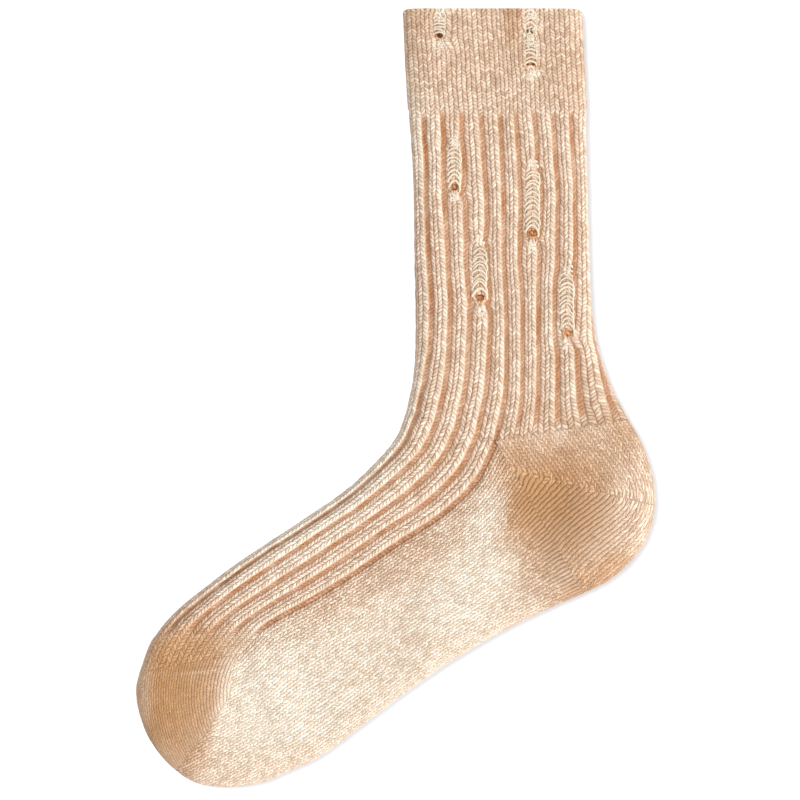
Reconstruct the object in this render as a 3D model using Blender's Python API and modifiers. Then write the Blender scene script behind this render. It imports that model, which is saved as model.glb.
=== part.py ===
"""A worn, holey rib-knit sock lying on its side: cuff, leg, turned heel, foot and turned toe.

Metres, +Z up.  The sock lies on the plane Z = 0 with its cuff towards +Y, its heel towards +X
and its toe towards -X -Y.  The origin is on that plane, under the middle of the whole sock.

Each knitted section is a 2 mm wall around an empty inside.  A round of knitting runs from the
front edge over the upper side to the back edge and returns on the flat under side.  It bends
at the side line, where the instep's ribs end and the sole begins.  The heel and the toe are
pockets whose rounds fan out from a corner on that side line.
"""

from collections import namedtuple
from math import cos, pi, sin

import bmesh
import bpy
import numpy as np

MM = 0.001

WALL = 2.0          # thickness of the knitted cloth
SEAM_GAP = 0.4      # what two sections leave between them, measured along the sock
EDGE_REACH = 11.0   # how far in from the outline the laid sock rounds down
RIB_DEPTH = 0.8     # how far a rib's channel lies below its crest
RIBS_PER_ARM = 5    # ribs between an edge and the side line, on one side of the sock
LOFT_STEPS = 2      # rounds made from each row of a table
EDGE_CROWDING = 1.7  # how strongly plain stations crowd towards an edge, 1 being not at all

# A round of the tube, in mm: its points on the front edge, the side line and the back edge,
# and the height of the laid sock there.
Round = namedtuple("Round", "front side back height")

CUFF = [
    Round((3.0, 163.5), (41.0, 163.5), (78.5, 163.5), 12.0),
    Round((4.0, 141.0), (42.5, 141.0), (79.5, 141.0), 12.0),
    Round((5.0, 122.0), (43.5, 122.0), (80.5, 122.0), 12.0),
]

ANKLE = Round((4.0, -6.0), (42.0, -18.0), (98.0, -9.0), 13.0)

LEG = [
    CUFF[-1],
    Round((7.0, 92.0), (45.0, 92.0), (81.0, 92.0), 12.0),
    Round((7.5, 58.0), (45.5, 58.0), (82.0, 58.0), 12.0),
    Round((8.0, 28.0), (46.5, 26.0), (84.5, 27.0), 12.5),
    Round((7.0, 9.0), (46.0, 2.0), (91.0, 5.0), 13.0),
    ANKLE,
]

FOOT = [
    Round((4.0, -6.0), (42.0, -18.0), (79.0, -82.0), 13.0),
    Round((0.0, -16.0), (34.0, -34.0), (61.0, -90.0), 13.5),
    Round((-8.0, -26.0), (20.0, -48.0), (41.5, -100.0), 13.5),
    Round((-22.0, -39.0), (1.0, -60.5), (22.0, -111.5), 13.5),
    Round((-44.0, -54.0), (-18.0, -73.5), (4.0, -124.0), 13.0),
    Round((-68.0, -70.0), (-36.0, -84.5), (-12.0, -136.0), 13.0),
    Round((-91.0, -88.0), (-53.0, -94.0), (-27.0, -147.5), 12.5),
    Round((-102.0, -101.0), (-60.5, -101.0), (-35.0, -152.5), 12.5),
    Round((-107.5, -115.0), (-66.5, -107.5), (-43.0, -156.0), 12.5),
]

# The rims of the two pockets, from one end of the fan to the other.
HEEL_RIM = [(98.0, -9.0), (104.0, -20.0), (108.3, -34.0), (108.7, -48.0),
            (105.0, -60.0), (98.0, -69.5), (89.0, -77.0), (79.0, -82.0)]
TOE_RIM = [(-43.0, -156.0), (-56.0, -161.5), (-70.0, -163.5), (-84.0, -161.5), (-95.0, -154.0),
           (-103.5, -143.0), (-108.0, -131.0), (-109.0, -122.0), (-107.5, -115.0)]

# A dropped stitch has run down one column of loops and left a slot in the upper side, in mm.
Ladder = namedtuple("Ladder", "section across top bottom width")

LADDERS = [
    Ladder("cuff", 18.5, 161.0, 151.0, 4.0),
    Ladder("cuff", 56.5, 162.0, 137.0, 4.5),
    Ladder("leg", 24.5, 110.0, 87.0, 4.0),
    Ladder("leg", 56.5, 102.0, 62.0, 4.5),
    Ladder("leg", 34.5, 68.0, 38.0, 4.5),
    Ladder("leg", 72.0, 57.0, 23.0, 4.5),
]

# Soft hollows (height below 0) and swells of the upper side: middle, direction of the long
# axis, half length and half width, all in mm and degrees.
Fold = namedtuple("Fold", "x y turn length width height")

FOLDS = [
    Fold(61.0, -54.0, 80.0, 24.0, 11.0, -2.4),     # hollow in the heel, below its gore
    Fold(86.0, -44.0, 70.0, 26.0, 12.0, 1.4),      # fullness along the heel's rim
    Fold(32.0, -76.0, 50.0, 26.0, 13.0, 1.4),      # swell of the sole before the heel
    Fold(-52.0, -122.0, 110.0, 24.0, 7.0, 1.3),    # ball of the toe
    Fold(-68.0, -127.0, 75.0, 22.0, 6.0, -1.2),    # trough beside the toe's gore
    Fold(-36.0, -124.0, 110.0, 22.0, 6.0, -1.0),   # trough behind the ball of the toe
    Fold(-6.0, -92.0, 30.0, 34.0, 10.0, -0.8),     # slack in the middle of the sole
    Fold(18.0, -22.0, 150.0, 18.0, 7.0, -1.2),     # crease in the bend of the ankle
    Fold(62.0, 10.0, 100.0, 22.0, 9.0, -0.8),      # slack above the heel
]

# Colours of the yarn in each section: base colour and roughness.
YARN = {
    "cuff": (0.83, 0.64, 0.48),
    "leg": (0.87, 0.69, 0.52),
    "heel": (0.71, 0.47, 0.30),
    "foot": (0.88, 0.71, 0.54),
    "toe": (0.74, 0.50, 0.33),
}
YARN_ROUGHNESS = 0.95


def fold_height(x, y):
    """Sum of the folds at a point of the upper side: each is a bell that is longer than wide."""
    total = 0.0
    for fold in FOLDS:
        turn = fold.turn * pi / 180
        along = (x - fold.x) * cos(turn) + (y - fold.y) * sin(turn)
        across = (y - fold.y) * cos(turn) - (x - fold.x) * sin(turn)
        total += fold.height * np.exp(-(along / fold.length) ** 2 - (across / fold.width) ** 2)
    return total


def smooth_rows(rows, steps):
    """Rows with others put between them, on Catmull-Rom curves through each column."""
    table = np.array(rows, dtype=float)
    padded = np.vstack([2 * table[0] - table[1], table, 2 * table[-1] - table[-2]])
    result = []
    for i in range(1, len(padded) - 2):
        p0, p1, p2, p3 = padded[i - 1:i + 3]
        for step in range(steps):
            t = step / steps
            result.append(0.5 * (2 * p1 + (p2 - p0) * t + (2 * p0 - 5 * p1 + 4 * p2 - p3) * t ** 2
                                 + (3 * p1 - p0 - 3 * p2 + p3) * t ** 3))
    result.append(table[-1])
    return result


def shorten(rows, at_start, at_end):
    """Rows with the first or last one drawn in by the seam gap, each point along its own line."""
    rows = [np.array(row, dtype=float) for row in rows]
    for wanted, end, inner in ((at_start, 0, 1), (at_end, -1, -2)):
        if not wanted:
            continue
        moved = rows[end].copy()
        for column in range(0, 2 * (len(moved) // 2), 2):
            step = rows[inner][column:column + 2] - moved[column:column + 2]
            length = np.hypot(*step)
            if length > 0:
                moved[column:column + 2] += step * SEAM_GAP / length
        rows[end] = moved
    return rows


def arm(side, edge, height, fractions, reliefs, upper):
    """Points from the side line out to an edge, evenly spaced along the cloth.

    The upper side is level and rounds down to half the height on a quarter of an ellipse at
    the edge, and the under side mirrors it.  Reliefs sink the points of the upper side.
    """
    side, edge = np.array(side), np.array(edge)
    reach = np.hypot(*(edge - side))
    distance = reach * (1 - (1 - np.linspace(0, 1, 97)) ** 2)
    inward = np.clip((reach - distance) / min(EDGE_REACH, reach), 0, 1)
    rise = np.sqrt(1 - (1 - inward) ** 2)
    along = np.concatenate([[0], np.cumsum(np.hypot(np.diff(distance), np.diff(rise) * height / 2))])
    points = []
    for fraction, relief in zip(fractions, reliefs):
        d = np.interp(fraction * along[-1], along, distance)
        r = np.interp(fraction * along[-1], along, rise)
        if upper:
            x, y = side + (edge - side) * (d - relief * (1 - r)) / reach
            z = height / 2 + (height / 2 - relief + fold_height(x, y)) * r
        else:
            x, y = side + (edge - side) * d / reach
            z = height / 2 * (1 - r)
        points.append((x, y, z))
    return points


def rib_stations(ribs):
    """Fractions along an arm with the two sides of each rib's crest and the channels between."""
    fractions, channels = [0.0], [1.0]
    for rib in range(ribs):
        fractions += [(rib + 0.25) / ribs, (rib + 0.75) / ribs, (rib + 1.0) / ribs]
        channels += [0.0, 0.0, 1.0]
    return fractions, channels


def plain_stations(count):
    """Fractions along an arm without ribs, closer together where it rounds down to the edge."""
    return list(1 - (1 - np.linspace(0, 1, count + 1)) ** EDGE_CROWDING), [0.0] * (count + 1)


def tube_ring(row, front_stations, back_stations, rib_depth):
    """One closed round: front edge, over the upper side, back edge and back along the under side."""
    front, side, back, height = row[0:2], row[2:4], row[4:6], row[6]
    ring = []
    for upper in (True, False):
        halves = []
        for edge, (fractions, channels) in ((front, front_stations), (back, back_stations)):
            reliefs = [rib_depth * channel for channel in channels]
            halves.append(arm(side, edge, height, fractions, reliefs, upper))
        over = halves[0][:0:-1] + halves[1]
        ring += over[:-1] if upper else over[:0:-1]
    return ring


def pocket_line(side, edge, height, stations):
    """One line of a pocket: from its corner over the upper side to the rim and back below."""
    fractions, channels = stations
    upper = arm(side, edge, height, fractions, channels, True)
    under = arm(side, edge, height, fractions, channels, False)
    return upper + under[-2::-1]


def knitted_wall(name, lines, closed):
    """A wall of cloth: a surface lofted through lines of points, thickened inwards."""
    surface = bmesh.new()
    grid = [[surface.verts.new(np.array(point) * MM) for point in line] for line in lines]
    count = len(lines[0])
    for upper, lower in zip(grid, grid[1:]):
        for i in range(count if closed else count - 1):
            j = (i + 1) % count
            surface.faces.new((upper[i], upper[j], lower[j], lower[i]))
    bmesh.ops.remove_doubles(surface, verts=surface.verts, dist=0.02 * MM)
    bmesh.ops.recalc_face_normals(surface, faces=surface.faces)
    top_face = max(surface.faces, key=lambda face: face.calc_center_median().z)
    if top_face.normal.z < 0:
        bmesh.ops.reverse_faces(surface, faces=surface.faces)
    mesh = bpy.data.meshes.new(name)
    surface.to_mesh(mesh)
    surface.free()
    section = bpy.data.objects.new(name, mesh)
    wall = section.modifiers.new("cloth thickness", "SOLIDIFY")
    wall.thickness = WALL * MM
    wall.offset = -1
    wall.use_even_offset = True
    mesh.shade_smooth()
    mesh.materials.append(yarn_material(name))
    return section


def yarn_material(name):
    """A dry woollen yarn in the section's colour."""
    material = bpy.data.materials.new(name + " yarn")
    material.use_nodes = True
    shader = material.node_tree.nodes["Principled BSDF"]
    shader.inputs["Base Color"].default_value = (*YARN[name], 1)
    shader.inputs["Roughness"].default_value = YARN_ROUGHNESS
    shader.inputs["Metallic"].default_value = 0
    return material


def flat_row(row):
    """A named round as one list of numbers."""
    return [*row.front, *row.side, *row.back, row.height]


def tube_section(name, rounds, front_stations, back_stations, rib_depths, ends):
    """A section knitted all round, with its rib depth given for each of its rounds."""
    rows = [flat_row(row) + [depth] for row, depth in zip(rounds, rib_depths)]
    rows = shorten(smooth_rows(rows, LOFT_STEPS), *ends)
    rings = [tube_ring(row, front_stations, back_stations, row[7]) for row in rows]
    return knitted_wall(name, rings, closed=True)


def pocket_section(name, corner, rim, height, stations):
    """A turned pocket: lines that fan out from its corner to its rim."""
    middle = np.array(rim[len(rim) // 2])
    away = middle - np.array(corner)
    corner = np.array(corner) + away / np.hypot(*away) * 1.5 * SEAM_GAP
    rim = shorten(smooth_rows(rim, LOFT_STEPS), True, True)
    lines = [pocket_line(corner, edge, height, stations) for edge in rim]
    return knitted_wall(name, lines, closed=False)


def ladder_cutter(ladder, number):
    """A slot with round ends, as tall as the upper side of the sock."""
    ground, reach = 7.0, 12.0
    length = ladder.top - ladder.bottom
    shape = bmesh.new()
    bmesh.ops.create_cube(shape, size=1)
    bmesh.ops.scale(shape, vec=(ladder.width * MM, length * MM, reach * MM), verts=shape.verts)
    bmesh.ops.translate(shape, verts=shape.verts, vec=(
        ladder.across * MM, (ladder.top + ladder.bottom) / 2 * MM, (ground + reach / 2) * MM))
    upright = [edge for edge in shape.edges
               if abs(edge.verts[0].co.z - edge.verts[1].co.z) > reach * MM / 2]
    bmesh.ops.bevel(shape, geom=upright, offset=ladder.width * 0.45 * MM, segments=2,
                    profile=0.5, affect="EDGES")
    mesh = bpy.data.meshes.new("ladder cutter")
    shape.to_mesh(mesh)
    shape.free()
    cutter = bpy.data.objects.new(f"ladder_cutter_{number}", mesh)
    cutter.hide_render = True
    cutter.display_type = "WIRE"
    return cutter


def build():
    """Model the sock and put its sections and cutters in their collections."""
    for old in list(bpy.data.objects):
        bpy.data.objects.remove(old, do_unlink=True)
    sock = bpy.data.collections.new("holey sock")
    cutters = bpy.data.collections.new("cutters")
    for collection in (sock, cutters):
        bpy.context.scene.collection.children.link(collection)

    ribbed = rib_stations(RIBS_PER_ARM)
    plain, wide = plain_stations(8), plain_stations(10)
    full, none = RIB_DEPTH, 0.0
    leg_ribs = [full / 2] + [full] * (len(LEG) - 1)
    foot_ribs = [full] * (len(FOOT) - 2) + [full / 2, none]

    sections = {
        "cuff": tube_section("cuff", CUFF, plain, plain, [none] * len(CUFF), (False, True)),
        "leg": tube_section("leg", LEG, ribbed, ribbed, leg_ribs, (False, False)),
        "heel": pocket_section("heel", ANKLE.side, HEEL_RIM, ANKLE.height, wide),
        "foot": tube_section("foot", FOOT, ribbed, plain, foot_ribs, (True, False)),
        "toe": pocket_section("toe", FOOT[-1].side, TOE_RIM, FOOT[-1].height, wide),
    }
    for section in sections.values():
        sock.objects.link(section)

    for number, ladder in enumerate(LADDERS, start=1):
        cutter = ladder_cutter(ladder, number)
        cutters.objects.link(cutter)
        cut = sections[ladder.section].modifiers.new(f"ladder {number}", "BOOLEAN")
        cut.operation = "DIFFERENCE"
        cut.object = cutter


build()
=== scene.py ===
"""A worn, holey rib-knit sock, dressed for display on a white surface.

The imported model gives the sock's sections.  This script makes the cloth that shows: knitted
shells about 2 mm thick with their ribs, columns of V stitches, turned heel and toe, and six
ladder runs whose loose rungs of yarn cross open slots.  Tables are in millimetres and degrees,
in the frame's own axes: the sock lies on Z = 0, cuff towards +Y, heel towards +X.
"""

from collections import namedtuple

import bmesh
import bpy
import numpy as np
from bpy.props import FloatProperty, FloatVectorProperty, PointerProperty
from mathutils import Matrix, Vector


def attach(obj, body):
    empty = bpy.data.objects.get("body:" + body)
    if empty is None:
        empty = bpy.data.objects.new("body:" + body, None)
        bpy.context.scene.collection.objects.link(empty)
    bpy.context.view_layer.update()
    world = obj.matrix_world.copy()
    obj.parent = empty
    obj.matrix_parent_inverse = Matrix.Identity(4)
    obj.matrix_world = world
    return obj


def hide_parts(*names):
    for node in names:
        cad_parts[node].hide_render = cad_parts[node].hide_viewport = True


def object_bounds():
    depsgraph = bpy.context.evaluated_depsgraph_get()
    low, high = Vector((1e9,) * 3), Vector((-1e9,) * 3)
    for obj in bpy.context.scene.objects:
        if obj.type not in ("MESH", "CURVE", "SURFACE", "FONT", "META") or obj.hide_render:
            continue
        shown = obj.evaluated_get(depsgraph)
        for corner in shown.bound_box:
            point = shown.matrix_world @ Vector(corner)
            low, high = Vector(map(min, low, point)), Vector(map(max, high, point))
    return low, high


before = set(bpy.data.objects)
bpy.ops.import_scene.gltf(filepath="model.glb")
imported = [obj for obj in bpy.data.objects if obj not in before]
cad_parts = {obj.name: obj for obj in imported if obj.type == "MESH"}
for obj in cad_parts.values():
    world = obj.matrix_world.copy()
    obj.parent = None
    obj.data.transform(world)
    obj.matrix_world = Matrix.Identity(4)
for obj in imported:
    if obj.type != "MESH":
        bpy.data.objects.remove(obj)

bl_info = {
    "name": "Holey Sock",
    "version": (1, 0, 0),
    "blender": (4, 5, 0),
    "location": "View3D > Sidebar > Sock",
    "description": "Knits a worn rib-knit sock over its packed frame",
    "category": "Object",
}

MM = 0.001
CAD_BOX = [list(corner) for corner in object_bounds()]

# ---------------------------------------------------------------------------
# The laid sock's form, the same rounds and folds as its solids
# ---------------------------------------------------------------------------

EDGE_REACH = 11.0   # how far in from the outline the laid sock rounds down
WALL = 2.0          # thickness of the knitted cloth
RIBS_PER_ARM = 5    # ribs between an edge and the side line, on one side of the sock
CUFF_COURSES = 1.2  # courses of the cuff to one of the leg

# A round of the tube: its points on the front edge, the side line and the back edge, and the
# height of the laid sock there.
Round = namedtuple("Round", "front side back height")

CUFF = [
    Round((3.0, 163.5), (41.0, 163.5), (78.5, 163.5), 12.0),
    Round((4.0, 141.0), (42.5, 141.0), (79.5, 141.0), 12.0),
    Round((5.0, 122.0), (43.5, 122.0), (80.5, 122.0), 12.0),
]

ANKLE = Round((4.0, -6.0), (42.0, -18.0), (98.0, -9.0), 13.0)

LEG = [
    CUFF[-1],
    Round((7.0, 92.0), (45.0, 92.0), (81.0, 92.0), 12.0),
    Round((7.5, 58.0), (45.5, 58.0), (82.0, 58.0), 12.0),
    Round((8.0, 28.0), (46.5, 26.0), (84.5, 27.0), 12.5),
    Round((7.0, 9.0), (46.0, 2.0), (91.0, 5.0), 13.0),
    ANKLE,
]

FOOT = [
    Round((4.0, -6.0), (42.0, -18.0), (79.0, -82.0), 13.0),
    Round((0.0, -16.0), (34.0, -34.0), (61.0, -90.0), 13.5),
    Round((-8.0, -26.0), (20.0, -48.0), (41.5, -100.0), 13.5),
    Round((-22.0, -39.0), (1.0, -60.5), (22.0, -111.5), 13.5),
    Round((-44.0, -54.0), (-18.0, -73.5), (4.0, -124.0), 13.0),
    Round((-68.0, -70.0), (-36.0, -84.5), (-12.0, -136.0), 13.0),
    Round((-91.0, -88.0), (-53.0, -94.0), (-27.0, -147.5), 12.5),
    Round((-102.0, -101.0), (-60.5, -101.0), (-35.0, -152.5), 12.5),
    Round((-107.5, -115.0), (-66.5, -107.5), (-43.0, -156.0), 12.5),
]

# The rims of the two pockets, from one end of the fan to the other.
HEEL_RIM = [(98.0, -9.0), (104.0, -20.0), (108.3, -34.0), (108.7, -48.0),
            (105.0, -60.0), (98.0, -69.5), (89.0, -77.0), (79.0, -82.0)]
TOE_RIM = [(-43.0, -156.0), (-56.0, -161.5), (-70.0, -163.5), (-84.0, -161.5), (-95.0, -154.0),
           (-103.5, -143.0), (-108.0, -131.0), (-109.0, -122.0), (-107.5, -115.0)]

# A dropped stitch has run down one column of loops: between its side lines the cloth has sunk
# and matted, crossed by the loose rungs between its first and last.  At its hole (middle and
# half size) the rungs and the cloth under them have broken through.
Ladder = namedtuple("Ladder", "section across width first last pitch sag hole")
Hole = namedtuple("Hole", "x y size")

LADDERS = [
    Ladder("cuff", 18.5, 4.4, 160.4, 154.0, 1.30, 0.5, Hole(18.2, 152.0, 1.3)),
    Ladder("cuff", 56.5, 5.0, 162.6, 155.8, 1.75, 1.8, Hole(57.0, 153.8, 1.2)),
    Ladder("cuff", 56.7, 4.8, 150.8, 139.4, 1.55, 0.9, Hole(56.9, 140.6, 2.2)),
    Ladder("leg", 24.7, 5.0, 105.0, 91.4, 1.95, 1.8, Hole(24.7, 89.0, 1.7)),
    Ladder("leg", 57.5, 5.2, 95.5, 72.2, 2.00, 1.8, Hole(58.2, 69.2, 2.0)),
    Ladder("leg", 35.4, 5.2, 63.0, 43.8, 2.00, 2.3, Hole(35.7, 41.4, 1.6)),
    Ladder("leg", 72.0, 5.0, 50.5, 29.6, 1.95, 1.8, Hole(71.6, 27.2, 1.5)),
]
WEB_DEPTH = 0.7     # how far the matted cloth between a ladder's side lines has sunk

# Soft hollows (height below 0) and swells of the upper side: middle, direction of the long
# axis in degrees, half length, half width and height.
Fold = namedtuple("Fold", "x y turn length width height")

FOLDS = [
    Fold(61.0, -54.0, 80.0, 24.0, 11.0, -2.4),     # hollow in the heel, below its gore
    Fold(86.0, -44.0, 70.0, 26.0, 12.0, 1.4),      # fullness along the heel's rim
    Fold(32.0, -76.0, 50.0, 26.0, 13.0, 1.4),      # swell of the sole before the heel
    Fold(-52.0, -122.0, 110.0, 24.0, 7.0, 1.3),    # ball of the toe
    Fold(-68.0, -127.0, 75.0, 22.0, 6.0, -1.2),    # trough beside the toe's gore
    Fold(-36.0, -124.0, 110.0, 22.0, 6.0, -1.0),   # trough behind the ball of the toe
    Fold(-6.0, -92.0, 30.0, 34.0, 10.0, -0.8),     # slack in the middle of the sole
    Fold(18.0, -22.0, 150.0, 18.0, 7.0, -1.2),     # crease in the bend of the ankle
    Fold(62.0, 10.0, 100.0, 22.0, 9.0, -0.8),      # slack above the heel
]

# ---------------------------------------------------------------------------
# Knitting
# ---------------------------------------------------------------------------

# Half a column of V stitches is an arm.  A rib has four, counted from its channel's middle:
# the channel, the left flank and the two arms of the crest.
RIB_PHASES = [0.0, 0.12, 0.36, 0.59, 0.88, 1.0]
RIB_ARMS = [0.5, 1.0, 2.0, 3.0, 4.0, 4.5]

# Across one rib, from channel to channel: the depth below the crest in parts of the rib's depth,
# how much of the channel's dark colour the yarn takes (the purl's tone with painted shade in the
# channel, in the groove and on the left flank that faces away from the light), how much painted
# highlight it takes (brightest on the right edge that faces the light), and how far its stitches
# have rubbed smooth, which in the channel and on that edge also evens out the painted shade and
# highlight.
Section = namedtuple("Section", "phase depth dark shine smooth")

RIB_SECTION = [
    Section(0.00, 1.00, 1.00, 0.00, 0.80),
    Section(0.08, 0.96, 0.90, 0.00, 0.70),
    Section(0.14, 0.66, 0.55, 0.00, 0.40),
    Section(0.20, 0.46, 0.32, 0.00, 0.20),
    Section(0.30, 0.30, 0.22, 0.05, 0.10),
    Section(0.355, 0.38, 0.42, 0.00, 0.00),
    Section(0.40, 0.14, 0.14, 0.10, 0.00),
    Section(0.50, 0.04, 0.02, 0.25, 0.00),
    Section(0.59, 0.12, 0.12, 0.05, 0.00),
    Section(0.68, 0.02, 0.00, 0.45, 0.05),
    Section(0.78, 0.02, 0.00, 0.65, 0.15),
    Section(0.83, 0.00, 0.00, 1.00, 0.75),
    Section(0.87, 0.06, 0.00, 1.00, 0.80),
    Section(0.895, 0.45, 0.60, 0.30, 0.50),
    Section(0.93, 0.92, 1.05, 0.00, 0.60),
    Section(1.00, 1.00, 1.00, 0.00, 0.80),
]

# How far the channels stray from an even spacing on the leg, in mm towards the back edge, at
# heights going down: the four on the front arm from its edge, then the four on the back arm
# and the one at the back edge.
Stray = namedtuple("Stray", "height front back")

STRAYS = [
    Stray(118.0, (0.8, 0.6, 0.3, -0.1), (-1.2, -1.6, -1.8, -1.6, 0.0)),
    Stray(83.0, (-0.2, -0.8, 0.7, 1.0), (-0.1, 0.8, -0.1, -0.5, 0.0)),
    Stray(58.0, (0.7, 0.9, 0.0, 0.9), (-1.3, -1.1, -1.0, -1.3, 0.0)),
    Stray(41.0, (1.6, 1.2, 1.3, 1.9), (-1.0, -1.9, -2.6, -1.8, -0.5)),
    Stray(18.0, (0.6, 0.6, 0.5, 1.0), (-1.8, -3.6, -4.2, -4.4, -2.5)),
    Stray(-2.0, (-1.5, -0.2, -0.4, 0.3), (-2.8, -6.3, -8.1, -8.6, -5.5)),
    Stray(-20.0, (-1.5, -0.6, -0.4, 0.0), (-4.0, -8.0, -10.0, -11.0, -8.0)),
]

# The same on the instep: the four channels from its front edge.
INSTEP_STRAYS = (-1.4, -1.6, -0.9, -0.5)

SOLE_ARM = 4 * RIBS_PER_ARM + 1     # number of the sole's first arm
SOLE_WALES = 22                     # columns of V stitches across the sole
SOLE_EDGE = 0.02                    # part of the sole's arm that is the channel by the instep
SOLE_WAY = 30.0                     # direction of the sole's wales at the toe
SOLE_LEAN = 0.85                    # courses that a strand climbs across an arm of the sole
HEEL_WAY = (0.866, 0.5)             # direction square to the line where the sole meets the heel
GROWTH = 3.0                        # length in which something begins to grow beyond a place

# The line where the heel's wales meet: its start, its direction and its length.
Gore = namedtuple("Gore", "x y turn length")

HEEL_GORE = Gore(51.5, -30.2, -14.6, 42.0)
HEEL_SLANTS = (39.5, 48.5)          # how the wales slant to it, above it and below it
HEEL_STEP = 2.45                    # from one arm of a wale to the next along the gore
HEEL_ROUNDING = (0.8, 1.8)          # how far the chevrons are rounded, and more past its end
HEEL_DRIFT = (1.7, 11.0, 8.0)       # arms that the lower wales lean, and the distances from
                                    # the sole and from the gore in which that fades
HEEL_CLOSED = (3.0, 16.0, 40.0)     # closed-up stitches below the gore: full, and their end
HEEL_RIM_OPEN = (84.0, 92.0, 104.0)     # open stitches at the rim: two starts, and full

TOE_GORE = [(-66.6, -107.5), (-69.0, -113.0), (-69.2, -125.0), (-74.0, -131.6), (-79.9, -141.3),
            (-85.8, -148.3), (-93.0, -158.0)]
TOE_FAN = (-42.0, -125.0)           # middle of the arcs that the cap's wales follow
TOE_ARM = 1.45                      # width of an arm of the cap
TOE_CROWDING = (1.2, 42.0)          # arms gained beyond a distance from the fan's middle
TOE_COURSES_AT = 52.0               # distance at which the cap's courses are measured
TOE_WORN = (34.0, 44.0)             # distances between which the cap's stitches wear smoother

# Patches of colour: middle, direction of the long axis, half length, half width, the yarn colour
# that the cloth takes there and how much of it. Some are painted shade and painted highlight,
# marked below.
Patch = namedtuple("Patch", "x y turn length width yarn amount")

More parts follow.
